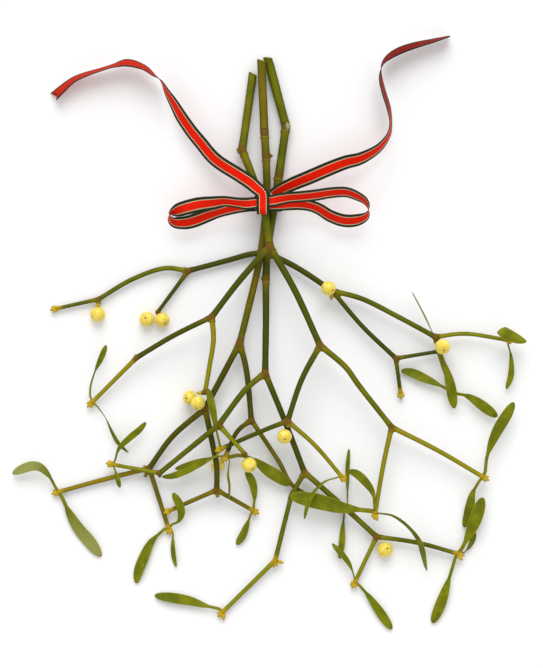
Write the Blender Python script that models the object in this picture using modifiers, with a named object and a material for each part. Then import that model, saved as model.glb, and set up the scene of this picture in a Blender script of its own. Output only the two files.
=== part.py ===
"""A bunch of mistletoe, cut and tied with a ribbon bow, lying on a flat surface.

Run it with blender --background --python part.py, or from Blender's text editor. It clears the scene
and builds one object for each piece: three forking sprigs, their leaves and berries, and the ribbon.
Places are in millimetres from the middle of the bunch, with +Y towards the cut ends and +Z up, and
become metres where the meshes are made. At the end everything moves so that the origin is the middle
of the bounding box's underside.
"""

import math

import bmesh
import bpy
from mathutils import Matrix, Vector

# Driving dimensions, in millimetres.
MM = 0.001
RIBBON_WIDTH = 10.0
RIBBON_THICK = 0.5
LEAF_THICK = 1.1
SHOOT_STEPS = 2  # rings between two points of a shoot's route
LEAF_ROWS = 6
BULGE = {"curl_up": 0.42}  # under 1, a blade is broadest near its foot
TROUGH = 0.12  # how far a blade's edges stand above its midrib, as a part of its half width
CUT_RISE = 0.75  # slope of a cut end's face
STRIP_STEPS = 1

# ---------------------------------------------------------------------------------------------
# The sprigs. A joint is (x, y, height, radius of its knuckle); the cut ends have no knuckle. A
# shoot is (from, to, radius at its start, radius at its end, points between).
# ---------------------------------------------------------------------------------------------

FRONT = {
    "joints": {
        "cut": (-10.5, 169, 3.1, 0),
        "upper": (-17.5, 119, 8.5, 3.1),
        "crown": (0.5, 56, 17, 3),
        "left_fork": (-37, 10.5, 18, 2.5),
        "left_ring": (-86, -16, 9.5, 2.1),
        "left_end": (-115, -45, 4.5, 1.9),
        "inner_end": (-41.5, -38.5, 13, 1.9),
        "right_fork": (33, -8, 18.5, 2.7),
        "middle_fork": (12, -57, 19, 2.5),
        "nest_end": (-31, -75, 14.5, 1.9),
        "thread_end": (47, -93, 14, 1.8),
        "far_fork": (79.5, -61, 13, 2.3),
        "low_end": (69, -116.5, 11.5, 1.9),
        "right_end": (139, -93.5, 8, 1.9),
    },
    "shoots": [
        ("cut", "upper", 2.7, 2.7, [(-14, 143.5, 5.5)]),
        ("upper", "crown", 2.6, 2.4, [(-10, 99.5, 12.3), (-3, 78, 15.3)]),
        ("crown", "left_fork", 2.2, 2.0, [(-19, 34, 17.7)]),
        ("left_fork", "left_ring", 1.8, 1.7, [(-61.5, -1.5, 14.5)]),
        ("left_ring", "left_end", 1.6, 1.4, []),
        ("left_fork", "inner_end", 1.8, 1.5, [(-36, -4.5, 17), (-38.5, -21, 15.2)]),
        ("crown", "right_fork", 2.3, 2.1, [(17, 27, 18)]),
        ("right_fork", "middle_fork", 2.0, 1.8, [(21, -30.5, 19.5)]),
        ("middle_fork", "nest_end", 1.6, 1.5, [(-4.5, -63.5, 15.4)]),
        ("middle_fork", "thread_end", 1.6, 1.4, [(30, -73, 17)]),
        ("right_fork", "far_fork", 2.0, 1.8, [(49, -21.5, 17.6), (59, -35, 16)]),
        ("far_fork", "low_end", 1.7, 1.5, [(74, -86.5, 12.3)]),
        ("far_fork", "right_end", 1.7, 1.5, [(110, -76.5, 10.5)]),
    ],
    "stubs": [("upper", (-21, 118, 9, 1.7)), ("left_ring", (-87.5, -14, 9.5, 0.8)),
              ("middle_fork", (12, -61, 19.5, 1.3)), ("inner_end", (-44.5, -39, 12.6, 1.5))],
    "buds": ["left_end", "nest_end", "thread_end", "low_end", "right_end"],
}

MIDDLE = {
    "joints": {
        "cut": (-5, 177.5, 8.3, 0),
        "upper": (-3, 130.5, 8, 3),
        "ring": (-2, 115.5, 8.5, 2.9),
        "first_fork": (-19, -6.5, 9.5, 2.8),
        "left_fork": (-41.5, -49, 9.5, 2.6),
        "outer_fork": (-78, -88, 4.3, 2.2),
        "outer_end": (-137, -103.5, 3.2, 1.9),
        "down_end": (-65.5, -127, 3.2, 1.8),
        "low_fork": (-34, -102, 9, 2.3),
        "low_left_end": (-64.5, -115.5, 5, 1.7),
        "low_right_end": (-10.5, -115.5, 4.5, 1.8),
        "right_fork": (-11.5, -56.5, 8, 2.3),
        "nest_end": (-28, -79.5, 11, 1.8),
        "hidden_end": (49.5, -114, 3.2, 1.6),
    },
    "shoots": [
        ("cut", "upper", 2.85, 2.75, []),
        ("upper", "ring", 2.6, 2.6, []),
        ("ring", "first_fork", 2.5, 2.2,
         [(-1.5, 95, 8.8), (-3, 70, 9), (-7.5, 41, 9.5)]),
        ("first_fork", "left_fork", 2.1, 2.0, []),
        ("left_fork", "outer_fork", 2.0, 1.8, [(-62.5, -67, 7.5)]),
        ("outer_fork", "outer_end", 1.7, 1.5, [(-110, -96, 3.5)]),
        ("outer_fork", "down_end", 1.6, 1.4, []),
        ("left_fork", "low_fork", 2.0, 1.8, [(-36.5, -73, 10.3), (-34, -86.5, 10.9)]),
        ("low_fork", "low_left_end", 1.6, 1.4, []),
        ("low_fork", "low_right_end", 1.6, 1.4, []),
        ("first_fork", "right_fork", 2.0, 1.8, [(-14.5, -25.5, 9)]),
        ("right_fork", "nest_end", 1.6, 1.5, [(-21, -64.5, 9.8)]),
        ("right_fork", "hidden_end", 1.6, 1.4, [(6, -83, 6), (18, -101.5, 4.2)]),
    ],
    "stubs": [("ring", (2.5, 115, 8.5, 1.2)), ("outer_fork", (-82, -87, 4.5, 1.2)),
              ("outer_fork", (-81, -94, 4.3, 1.2)), ("low_fork", (-33.5, -107, 9, 1.3))],
    "buds": ["outer_end", "down_end", "low_left_end", "low_right_end", "nest_end"],
}

BACK = {
    "joints": {
        "cut": (-1, 179.5, 3.4, 0),
        "upper": (11, 134.5, 4.5, 3.2),
        "ring": (6.5, 103, 5.5, 3),
        "crown": (-1.5, 52.5, 4.8, 3.1),
        "left_fork": (-52.5, 40.5, 4.3, 2.3),
        "outer_left": (-111, 22, 3.5, 1.9),
        "outer_left_end": (-138, 16, 3, 1.7),
        "pair_end": (-72.5, 13.5, 4.3, 1.7),
        "right_fork": (41, 27.5, 8, 2.4),
        "outer_right": (108, -2.5, 8.5, 2.4),
        "curl_end": (154.5, -4.5, 8, 1.8),
        "under_end": (119, -37.5, 4.5, 1.7),
        "lower_right": (82.5, -16.5, 7.5, 2.1),
        "berry_end": (110, -12, 5.5, 1.6),
        "bud_end": (85.5, -38.5, 4, 1.6),
        "collar": (-2, 35, 8.5, 2.8),
        "middle_fork": (-2.5, -26, 16, 2.7),
        "inner_left": (-32.5, -59.5, 18.5, 2.4),
        "left_low": (-71, -91, 9.3, 2.1),
        "left_low_end": (-101.5, -85.5, 7.8, 1.7),
        "stub_end": (-15.5, -78.5, 18.5, 1.8),
        "inner_right": (23, -90.5, 9.5, 2.3),
        "bend": (14.5, -105.5, 8.3, 1.9),
        "left_foot": (4, -148, 4.8, 2),
        "left_foot_end": (-30, -181.5, 3, 1.8),
        "right_foot": (70, -132.5, 6, 2.3),
        "right_foot_end": (56, -162, 3.8, 1.7),
        "far_foot_end": (122.5, -143.5, 5, 1.8),
    },
    "shoots": [
        ("cut", "upper", 3.15, 2.85, []),
        ("upper", "ring", 2.7, 2.8, []),
        ("ring", "crown", 2.7, 2.5, [(3, 80, 5.5)]),
        ("crown", "left_fork", 1.9, 1.8, [(-13.5, 51, 4.5), (-28, 47, 4.3)]),
        ("left_fork", "outer_left", 1.7, 1.5, [(-69, 42, 4.2), (-90, 34.5, 4)]),
        ("outer_left", "outer_left_end", 1.4, 1.3, []),
        ("left_fork", "pair_end", 1.5, 1.3, []),
        ("crown", "right_fork", 2.0, 1.9, [(19, 42, 6.5)]),
        ("right_fork", "outer_right", 1.8, 1.7, [(61, 22, 8.5), (83, 11, 9)]),
        ("outer_right", "curl_end", 1.5, 1.4, [(128.5, -0.5, 8)]),
        ("outer_right", "under_end", 1.5, 1.4, [(112, -17.5, 5.5)]),
        ("right_fork", "lower_right", 1.6, 1.6, [(60.5, 4.5, 7.7)]),
        ("lower_right", "berry_end", 1.4, 1.3, []),
        ("lower_right", "bud_end", 1.4, 1.3, []),
        ("crown", "collar", 2.4, 2.4, []),
        ("collar", "middle_fork", 2.3, 2.1, [(-2, 7, 13)]),
        ("middle_fork", "inner_left", 2.0, 1.9, [(-16, -37.5, 18)]),
        ("inner_left", "left_low", 1.9, 1.7, [(-51.5, -75, 14.3)]),
        ("left_low", "left_low_end", 1.4, 1.3, []),
        ("inner_left", "stub_end", 1.6, 1.4, []),
        ("middle_fork", "inner_right", 2.0, 1.9, [(11, -59, 13.2)]),
        ("inner_right", "bend", 1.7, 1.6, []),
        ("bend", "left_foot", 1.6, 1.6, []),
        ("left_foot", "left_foot_end", 1.6, 1.4, []),
        ("inner_right", "right_foot", 1.9, 1.8, [(47.5, -112, 8.2)]),
        ("right_foot", "right_foot_end", 1.5, 1.4, []),
        ("right_foot", "far_foot_end", 1.6, 1.5, [(97, -136.5, 5.6)]),
    ],
    "stubs": [("upper", (12.5, 134.5, 8.2, 2.1)), ("outer_left", (-111, 18.5, 3.9, 1.5)),
              ("ring", (3, 100, 5.5, 0.9)),
              ("collar", (-5.5, 36, 8.8, 1)), ("left_low", (-71, -94, 9, 1.2)),
              ("right_fork", (40.5, 23, 8, 1.4)), ("inner_right", (24.5, -94, 9.5, 1.1))],
    "buds": ["outer_left_end", "curl_end", "under_end", "bud_end", "left_low_end", "left_foot",
             "left_foot_end", "right_foot_end", "far_foot_end"],
}

# Berries: (x, y, height, radius).
BERRIES = [
    (-111.5, 12, 4.8, 4.6), (-79.5, 9, 4.9, 4.6), (-69.5, 8.5, 4.9, 4.5), (-51.5, -42, 7, 4.4),
    (-46, -45.5, 13.8, 4.4), (-33.5, -86, 4.4, 4.2), (-13, -85.5, 15.3, 4.7), (10, -67, 19, 4.5),
    (38.5, 29, 15.3, 4.5), (112.5, -9, 13.4, 4.7), (75.5, -141, 5, 4.7),
]

# Leaves: (name, broadest width, roll in degrees, share that is stalk, [base, along the midrib, tip]).
LEAVES = [
    ("left_spoon", 4.2, 20, 0.45, [(-116.5, -41, 5.6), (-116, -34, 6.4), (-113, -24.5, 7),
         (-109, -15.5, 7), (-106, -8, 6.4)]),
    ("left_hook", 3.6, 50, 0.2, [(-111.5, -48, 4.6), (-106.5, -55, 5), (-102, -64.5, 4.8),
         (-98, -71.5, 4.2), (-91.5, -78, 3.2)]),
    ("far_left_arch", 6.4, 10, 0.15, [(-139, -100.5, 4.6), (-143, -93, 7), (-148.5, -87.5, 8),
         (-154, -86.5, 8), (-160.5, -88.5, 6.5), (-167, -91.5, 4)]),
    ("far_left_pale", 8.6, 15, 0.08, [(-134.5, -107.5, 3.4), (-130, -117, 3.4), (-124, -127, 3),
         (-116.5, -136, 2.6), (-109.5, -145.5, 2)]),
    ("nest_left_upper", 4.0, 10, 0.2, [(-31.5, -80, 13), (-36, -80.5, 14.2), (-45, -83, 12.6),
         (-53, -86, 10), (-61, -88.5, 7)]),
    ("nest_left_lower", 4.6, 15, 0.1, [(-34, -79.5, 16.2), (-40.5, -83.5, 16.2), (-48, -87, 13.5),
         (-56, -90.5, 11), (-63, -93, 9), (-69.5, -93.5, 7)]),
    ("nest_up", 4.8, 0, 0.25, [(-32, -72, 16), (-34, -63, 20.8), (-36.5, -49, 21), (-39.5, -36, 19.4)]),
    ("nest_down", 3.4, 60, 0.2, [(-25.5, -83, 11), (-26.5, -91.5, 11), (-25.5, -99.5, 10.5),
         (-26, -108, 10)]),
    ("nest_right", 8.2, 5, 0.30, [(-25.5, -80.5, 10), (-19, -79.5, 8.8), (-10.5, -82, 8.2),
         (-1.5, -88.5, 8.6), (7, -94, 8.2), (13.5, -99, 7.4)]),
    ("down_curl", 5.6, 5, 0.1, [(-63, -124.5, 4.8), (-59, -122.5, 5.8), (-57, -117.5, 7.2),
         (-58, -112, 8.3), (-60, -108, 8.3), (-62.5, -104, 7.4)]),
    ("down_left", 7.0, 10, 0.1, [(-68.5, -128, 3), (-76.5, -136, 3), (-82, -147.5, 2.8),
         (-85, -155.5, 2.6), (-86.5, -163, 2)]),
    ("down_right", 4.0, 30, 0.1, [(-62.5, -130, 3.2), (-62.5, -138, 3.4), (-62, -145, 3.2),
         (-60.5, -152.5, 2.6)]),
    ("low_right_up", 5.6, 20, 0.12, [(-10, -113, 5), (-9.5, -105.5, 6), (-11, -97, 7),
         (-15, -89.5, 7.4)]),
    ("low_right_down", 5.0, 10, 0.1, [(-12, -118.5, 4.2), (-14, -124, 3.6), (-17, -131.5, 3),
         (-21, -138, 2.2)]),
    ("hidden_up", 3.4, 30, 0.2, [(51, -111, 3.8), (51, -99, 5), (51, -87, 5.5), (52, -75.5, 5)]),
    ("hidden_down", 4.2, 10, 0.15, [(49, -116.5, 3), (48, -128, 2.8), (47.5, -136.5, 2.6),
         (46, -147, 2)]),
    ("low_broad", 10.0, 5, 0.1, [(66.5, -115.5, 11.6), (57, -114.5, 12.6), (46, -113, 13),
         (36.5, -110.5, 12.8), (25.5, -108, 12), (13, -105.5, 10.5)]),
    ("low_up", 5.8, -15, 0.15, [(68.5, -113.5, 14.2), (67.5, -104, 14), (62.5, -96.5, 13),
         (57, -91.5, 11.5), (51.5, -89.5, 10)]),
    ("low_side", 6.6, 62, 0.1, [(72, -117, 12), (80.5, -118.5, 13.5), (90.5, -125.5, 13),
         (98.5, -136.5, 11.8), (102.5, -154.5, 8)]),
    ("thread", 3.4, 50, 0.1, [(45, -93.5, 14.4), (36, -96.5, 16.2), (29, -103.5, 17.5),
         (25, -112, 17.2), (23, -120.5, 16)]),
    ("right_up", 7.4, 0, 0.2, [(140.5, -90, 9.2), (141.5, -80.5, 10.5), (144.5, -71.5, 11),
         (149, -62, 11), (154.5, -53, 10.5), (159, -45, 10)]),
    ("right_down", 6.6, 15, 0.12, [(136.5, -96.5, 8), (132.5, -104, 7.6), (131, -112, 6),
         (129.5, -119.5, 4), (127, -126.5, 2.4)]),
    ("left_low_up", 4.6, 15, 0.1, [(-100, -82.5, 8.6), (-97.5, -75, 9.6), (-90.5, -68, 9.5),
         (-84.5, -63, 9), (-80, -58, 8)]),
    ("left_low_down", 3.6, 25, 0.1, [(-100.5, -88, 8), (-99, -92.5, 8.4), (-98, -96, 8),
         (-97, -100.5, 7)]),
    ("foot_left", 6.8, 10, 0.1, [(-33, -179.5, 3), (-41.5, -177.5, 3.6), (-51.5, -174.5, 3.4),
         (-63, -172.5, 3), (-74.5, -171, 2)]),
    ("foot_up", 4.0, 20, 0.15, [(55.5, -159.5, 4.8), (53.5, -153, 6), (49.5, -146.5, 6.4),
         (41, -137, 6)]),
    ("foot_down", 6.2, 10, 0.1, [(59.5, -165, 3.4), (65, -171.5, 3.4), (72.5, -182, 3), (80, -193, 2)]),
    ("far_foot_up", 8.2, 0, 0.1, [(125, -141, 6.2), (128.5, -134, 8), (132.5, -125.5, 8.8),
         (136, -116, 8.6), (139, -107, 8)]),
    ("far_foot_behind", 4.2, 20, 0.1, [(127, -143, 4.6), (130, -139.5, 4.2), (132.5, -134.5, 4),
         (133.5, -128.5, 3.6)]),
    ("far_foot_down", 7.0, 10, 0.25, [(121, -147, 4.4), (119, -154, 4.2), (116, -164, 3.8),
         (112, -176, 3), (106.5, -189, 2)]),
    ("berry_leaf", 6.8, 10, 0.1, [(112, -14.5, 8.8), (115, -23, 9.4), (118, -34, 9.2),
         (120.5, -49, 7)]),
    ("under_left", 6.2, 10, 0.1, [(116, -36.5, 4.6), (109, -33, 4.8), (101, -29.5, 4.4),
         (93, -26, 3.6), (86, -24.5, 3)]),
    ("under_right", 6.8, 10, 0.1, [(122.5, -39.5, 4.8), (129, -41, 6), (136.5, -45.5, 6.8),
         (148.5, -54.5, 6)]),
    ("needle", 2.6, 75, 0.1, [(105.5, 1.5, 9.8), (102, 9, 10.5), (97.5, 18, 10), (93, 26.5, 9)]),
    ("curl_up", 8.9, -6, 0.27, [(153, -3, 10.6), (151, -0.5, 12.2), (149.5, 2, 14.6), (151, 1.5, 16.2),
         (156.5, -1.5, 15.8), (162.5, -4, 14.5), (167, -5.5, 13.2)]),
    ("curl_down", 4.2, 30, 0.1, [(155.5, -7.5, 7.2), (157.5, -16, 7), (157.5, -27.5, 6),
         (154.5, -36.5, 4)]),
]

# The ribbon: (x, y, height, roll of its face from lying flat in degrees, share of its width open).
TAIL_LEFT = [(-4, 77, 20.8, 0, 0.78), (-4, 77.5, 23, 0, 0.78), (-4, 79.5, 24.3, 0, 0.78),
             (-4, 85, 24.4, 0, 0.78),
             (-4, 88, 24.4, 0, 0.78), (-5, 91, 24.3, 3, 0.8), (-8.5, 94, 24, 9, 0.88),
             (-12.5, 97.5, 23.2, 16, 0.95),
             (-20, 102.5, 20.6, 22, 0.97), (-31, 109.5, 16.2, 27, 1), (-37.5, 115, 14.4, 28, 1),
             (-44, 123, 13.4, 30, 1),
             (-50.5, 131, 12.8, 34, 1), (-57, 140.5, 12.5, 40, 1), (-61.5, 148.5, 12.2, 52, 1),
             (-66, 156, 12, 68, 1),
             (-70, 163.5, 12, 86, 1), (-75, 167.5, 11.6, 102, 1), (-81.5, 172.5, 11, 114, 1),
             (-92, 175.5, 10, 123, 1),
             (-101.5, 173.5, 9.2, 108, 1), (-110, 171, 8.4, 107, 1), (-119.5, 168, 7.4, 112, 1),
             (-127.5, 164.5, 6.6, 117, 1),
             (-135, 158.5, 5.7, 126, 1), (-140.5, 153.5, 4.9, 132, 1)]
TAIL_RIGHT = [(2.5, 89.5, 16.6, -16, 0.75), (7, 92.5, 18, -26, 0.88), (15.5, 96.5, 18.6, -29, 1),
              (26.5, 101, 18.2, -22, 1),
              (38, 106, 17.2, -22, 1), (49.5, 110.5, 16.2, -28, 1), (59, 113, 15.2, -38, 1),
              (68.5, 118, 14.3, -54, 1),
              (74, 123, 13.6, -65, 1), (78, 129.5, 13, -75, 1), (79, 137, 12.5, -79, 1),
              (77.5, 146.5, 12, -72, 1),
              (74.5, 156.5, 11.4, -71, 1), (72.5, 166, 10.7, -77, 1), (73.5, 174, 10.2, -96, 1),
              (77.5, 179, 9.7, -113, 1),
              (85, 183.5, 9, -121, 1), (95, 187, 8.2, -118, 1), (106.5, 190, 7.4, -109, 1),
              (117.5, 193, 6.6, -98, 1)]
LOOP_LEFT = [(-4, 84, 22.3, 0, 0.75), (-9, 84, 22.3, 0, 0.78), (-14.5, 83.5, 23, 22, 0.85),
             (-20, 84, 23.8, 40, 0.9),
             (-28.5, 85, 24.4, 45, 0.95), (-36.5, 84, 24.4, 32, 1), (-45, 83, 23.8, 19, 1),
             (-53.5, 81, 22.4, 18, 1),
             (-60, 79, 20.2, 38, 1), (-64.5, 76.5, 17.2, 90, 1), (-62, 72, 14.8, 130, 1),
             (-54.5, 71.5, 14.2, 148, 1),
             (-48, 73, 14.7, 152, 1), (-40, 76, 15.9, 147, 1), (-32, 78.5, 17.6, 142, 0.9),
             (-22, 81, 19.3, 158, 0.8),
             (-13, 82, 20.4, 174, 0.7), (-4, 82, 20.7, 180, 0.64)]
LOOP_RIGHT = [(-3, 85, 22.3, 0, 0.75), (2.5, 85.5, 22.3, 0, 0.78), (7, 86.5, 23, -22, 0.85),
              (13, 87.5, 23.8, -38, 0.9),
              (20, 88, 24.3, -42, 0.95), (30, 89, 24.7, -44, 1), (39.5, 90.5, 24.7, -47, 1),
              (49.5, 91, 24, -50, 1),
              (57, 88.5, 22.5, -56, 1), (62.5, 85, 20.3, -68, 1), (64.5, 80, 17.6, -90, 1),
              (62.5, 75.5, 15.2, -122, 1),
              (56, 73, 13.8, -142, 1), (48, 73, 13.6, -145, 1), (39.5, 76, 14.3, -141, 1),
              (33, 80, 15.6, -138, 1),
              (26.5, 82.5, 17, -139, 0.95), (18, 83.5, 18.7, -152, 0.87), (7, 82.5, 20.4, -172, 0.7),
              (-3, 82, 20.7, -180, 0.64)]

# The stems at the tie, and the strands inside the knot, as circles (across, height, radius).
TIE_Y = 84.0
STEMS_AT_TIE = [(-6.1, 14.0, 2.6), (-3.5, 15.3, 2.6), (-4.0, 9.0, 2.7), (4.8, 5.5, 2.8), (3.2, 5.5, 2.8)]
KNOT_X = -3.6
LOOPS_AT_KNOT = [(79.2, 20.4, 0.9), (90.0, 20.4, 0.9), (79.2, 22.4, 0.9), (90.0, 22.4, 0.9)]


def clear_scene():
    """Leaves the file empty of objects, whatever it opened with."""
    for old in list(bpy.data.objects):
        bpy.data.objects.remove(old, do_unlink=True)


def new_collection(name):
    made = bpy.data.collections.new(name)
    bpy.context.scene.collection.children.link(made)
    return made


def material(name, colour, roughness, metallic=0.0):
    made = bpy.data.materials.new(name)
    made.use_nodes = True
    shader = made.node_tree.nodes["Principled BSDF"]
    shader.inputs["Base Color"].default_value = (*colour, 1.0)
    shader.inputs["Roughness"].default_value = roughness
    shader.inputs["Metallic"].default_value = metallic
    return made


def add_object(name, mesh, mat, where, smooth=True):
    """The mesh as an object in a collection, with its material and its shading."""
    mesh.materials.clear()
    mesh.materials.append(mat)
    for face in mesh.polygons:
        face.use_smooth = smooth
    made = bpy.data.objects.new(name, mesh)
    where.objects.link(made)
    return made


def mesh_of(bm, name):
    bmesh.ops.recalc_face_normals(bm, faces=bm.faces)
    mesh = bpy.data.meshes.new(name)
    bm.to_mesh(mesh)
    bm.free()
    return mesh


def thickened(name, bm, thickness, mat, shown):
    """A sheet of faces as an object with a wall of this many millimetres."""
    made = add_object(name, mesh_of(bm, name), mat, shown)
    wall = made.modifiers.new("thickness", "SOLIDIFY")
    wall.thickness = thickness * MM
    wall.offset = 0.0
    return made


# ---------------------------------------------------------------------------------------------
# Routes: a smooth line through hand-placed points, and places along it.
# ---------------------------------------------------------------------------------------------


def smooth_route(points, steps):
    """A Catmull-Rom line through the points, with this many steps between two of them."""
    padded = [points[0] * 2 - points[1], *points, points[-1] * 2 - points[-2]]
    line = []
    for a, b, c, d in zip(padded, padded[1:], padded[2:], padded[3:]):
        for k in range(steps):
            t = k / steps
            line.append(0.5 * (2 * b + (c - a) * t + (2 * a - 5 * b + 4 * c - d) * t**2
                               + (3 * b - a - 3 * c + d) * t**3))
    line.append(points[-1])
    return line


def at_share(line, share):
    """(place, direction) at this share of the line's length."""
    lengths = [(b - a).length for a, b in zip(line, line[1:])]
    left = share * sum(lengths)
    for a, b, length in zip(line, line[1:], lengths):
        if left <= length:
            break
        left -= length
    return a.lerp(b, min(left / length, 1.0)), (b - a).normalized()


# ---------------------------------------------------------------------------------------------
# Sprigs: each is one woody piece, so its shoots, knuckles, scars and buds join in one solid.
# ---------------------------------------------------------------------------------------------


def shoot_mesh(points, start_radius, end_radius):
    """A round shoot along its points, thinning as it goes: a bevelled curve made into a mesh."""
    curve = bpy.data.curves.new("shoot", "CURVE")
    curve.dimensions = "3D"
    curve.bevel_depth = MM
    curve.bevel_resolution = 2 if start_radius > 2.15 else 1
    curve.use_fill_caps = True
    curve.resolution_u = 1 if len(points) == 2 else SHOOT_STEPS
    spline = curve.splines.new("BEZIER")
    spline.bezier_points.add(len(points) - 1)
    for k, (place, node) in enumerate(zip(points, spline.bezier_points)):
        node.co = place * MM
        node.handle_left_type = node.handle_right_type = "AUTO"
        node.radius = start_radius + (end_radius - start_radius) * k / (len(points) - 1)
    holder = bpy.data.objects.new("shoot", curve)
    bpy.context.scene.collection.objects.link(holder)
    bpy.context.view_layer.update()
    mesh = bpy.data.meshes.new_from_object(holder.evaluated_get(bpy.context.evaluated_depsgraph_get()))
    bpy.data.objects.remove(holder)
    bm = bmesh.new()
    bm.from_mesh(mesh)
    bmesh.ops.remove_doubles(bm, verts=bm.verts, dist=1e-6)
    return mesh_of(bm, "shoot")


def slant_cut(mesh, end, rise):
    """Leans the face at a cut end, as secateurs leave it: its far rim goes on, its near rim back."""
    for vert in mesh.vertices:
        offset = vert.co - end * MM
        if abs(offset.y) < 1.5 * MM:
            vert.co.y -= rise * offset.x


def ball_mesh(place, radius, stretch=1.0, direction=None, detail=1):
    """A knuckle, scar or bud: a ball, drawn out along a direction if one is given."""
    bm = bmesh.new()
    bmesh.ops.create_icosphere(bm, subdivisions=detail, radius=radius * MM)
    bmesh.ops.scale(bm, verts=bm.verts, vec=(1, 1, stretch))
    if direction is not None:
        turn = Vector((0, 0, 1)).rotation_difference(direction).to_matrix()
        bmesh.ops.rotate(bm, verts=bm.verts, cent=(0, 0, 0), matrix=turn)
    bmesh.ops.translate(bm, verts=bm.verts, vec=place * MM)
    return mesh_of(bm, "knuckle")


def bud_meshes(place, forward):
    """The bud cluster that ends a shoot: one plump bud ahead and a smaller one on each side."""
    side = forward.cross(Vector((0, 0, 1))).normalized()
    yield ball_mesh(place + forward * 2.4, 1.5, 1.5, forward)
    for lean in (-1, 1):
        aim = (forward * 0.75 + side * lean * 0.66).normalized()
        yield ball_mesh(place + aim * 2.0, 1.15, 1.4, aim)


def joined(meshes):
    """One closed mesh from many that overlap, by a single Boolean union of the first with the rest."""
    others = new_collection("to_join")
    for mesh in meshes[1:]:
        others.objects.link(bpy.data.objects.new("to_join", mesh))
    first = bpy.data.objects.new("first", meshes[0])
    bpy.context.scene.collection.objects.link(first)
    union = first.modifiers.new("join", "BOOLEAN")
    union.operation = "UNION"
    union.solver = "EXACT"
    union.operand_type = "COLLECTION"
    union.collection = others
    bpy.context.view_layer.update()
    made = bpy.data.meshes.new_from_object(first.evaluated_get(bpy.context.evaluated_depsgraph_get()))
    for used in [first, *others.objects]:
        bpy.data.objects.remove(used)
    bpy.data.collections.remove(others)
    return made


def build_sprig(name, plan, mat, shown):
    """Joins everything that grew as one sprig: its shoots, knuckles, cut stubs and buds."""
    joints = {key: Vector(value[:3]) for key, value in plan["joints"].items()}
    meshes, forward = [], {}
    for start, end, start_radius, end_radius, between in plan["shoots"]:
        points = [joints[start], *map(Vector, between), joints[end]]
        mesh = shoot_mesh(points, start_radius, end_radius)
        if start == "cut":
            slant_cut(mesh, joints[start], CUT_RISE)
        meshes.append(mesh)
        forward[end] = (points[-1] - points[-2]).normalized()
    for key, value in plan["joints"].items():
        if value[3]:
            meshes.append(ball_mesh(joints[key], value[3], detail=2 if value[3] > 2.55 else 1))
    for key, (x, y, z, radius) in plan["stubs"]:
        meshes.append(shoot_mesh([joints[key], Vector((x, y, z))], radius, radius))
    for key in plan["buds"]:
        meshes += bud_meshes(joints[key], forward[key])
    return add_object(name, joined(meshes), mat, shown)


# ---------------------------------------------------------------------------------------------
# Leaves and berries.
# ---------------------------------------------------------------------------------------------


def leaf_outline(share, stalk, bulge):
    """Half the width at a share of the length, as a part of the greatest: a stalk, then the blade."""
    blade = min(max(share - stalk, 0.0) / (1 - stalk), 0.985) ** bulge
    return max(0.3 * (1 - blade), blade**0.62 * math.sqrt(1 - blade**2.1) / 0.591)


def build_leaf(name, width, roll, stalk, points, mat, shown):
    """A leathery blade along its midrib: a grid shaped by the outline, and given its thickness."""
    line = smooth_route([Vector(p) for p in points], 8)
    stations, across = [], None
    for row in range(LEAF_ROWS + 1):
        centre, direction = at_share(line, row / LEAF_ROWS)
        if across is None:
            flat = direction.cross(Vector((0, 0, 1))).normalized()
            across = Matrix.Rotation(math.radians(roll), 3, direction) @ flat
        across = (across - direction * across.dot(direction)).normalized()
        stations.append((centre, across, across.cross(direction)))
    bm = bmesh.new()
    bmesh.ops.create_grid(bm, x_segments=2, y_segments=LEAF_ROWS, size=1.0)
    for vert in bm.verts:
        share, side = (vert.co.y + 1) / 2, vert.co.x
        centre, across, up = stations[round(share * LEAF_ROWS)]
        half = leaf_outline(share, stalk, BULGE.get(name, 1.0)) * width / 2
        vert.co = (centre + across * side * half + up * TROUGH * half * side**2) * MM
    return thickened("leaf_" + name, bm, LEAF_THICK, mat, shown)


def build_berry(name, place, mat, shown):
    """A round berry, a little flattened, with the dimple that its flower left."""
    bm = bmesh.new()
    bmesh.ops.create_uvsphere(bm, u_segments=10, v_segments=7, radius=place[3] * MM)
    bmesh.ops.scale(bm, verts=bm.verts, vec=(1, 1, 0.96))
    bmesh.ops.translate(bm, verts=bm.verts, vec=Vector(place[:3]) * MM)
    return add_object(name, mesh_of(bm, name), mat, shown)


# ---------------------------------------------------------------------------------------------
# The ribbon: flat strips on hand-placed lines, a wrap round the stems and a knot round the loops.
# ---------------------------------------------------------------------------------------------


def build_strip(name, stations, mat, shown):
    """A run of ribbon: its face rolls about its line, from lying flat to standing on its edge."""
    line = smooth_route([Vector(station[:3]) for station in stations], STRIP_STEPS)
    turns = smooth_route([Vector((*station[3:], 0)) for station in stations], STRIP_STEPS)
    bm = bmesh.new()
    bmesh.ops.create_grid(bm, x_segments=1, y_segments=len(line) - 1, size=1.0)
    for vert in bm.verts:
        k = round((vert.co.y + 1) / 2 * (len(line) - 1))
        ahead = line[min(k + 1, len(line) - 1)] - line[max(k - 1, 0)]
        flat = Vector((ahead.y, -ahead.x, 0)).normalized()
        roll, spread = math.radians(turns[k].x), turns[k].y
        across = flat * math.cos(roll) + Vector((0, 0, 1)) * math.sin(roll)
        vert.co = (line[k] + across * vert.co.x * spread * RIBBON_WIDTH / 2) * MM
    return thickened(name, bm, RIBBON_THICK, mat, shown)


def taut_outline(rounds, gap, count):
    """The line that a taut ribbon takes round some circles (u, v, radius), this far off them."""
    outline = []
    for k in range(count):
        aim = (math.cos(2 * math.pi * k / count), math.sin(2 * math.pi * k / count))
        u, v, radius = max(rounds, key=lambda r: r[0] * aim[0] + r[1] * aim[1] + r[2])
        outline.append((u + (radius + gap) * aim[0], v + (radius + gap) * aim[1]))
    return outline


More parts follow.
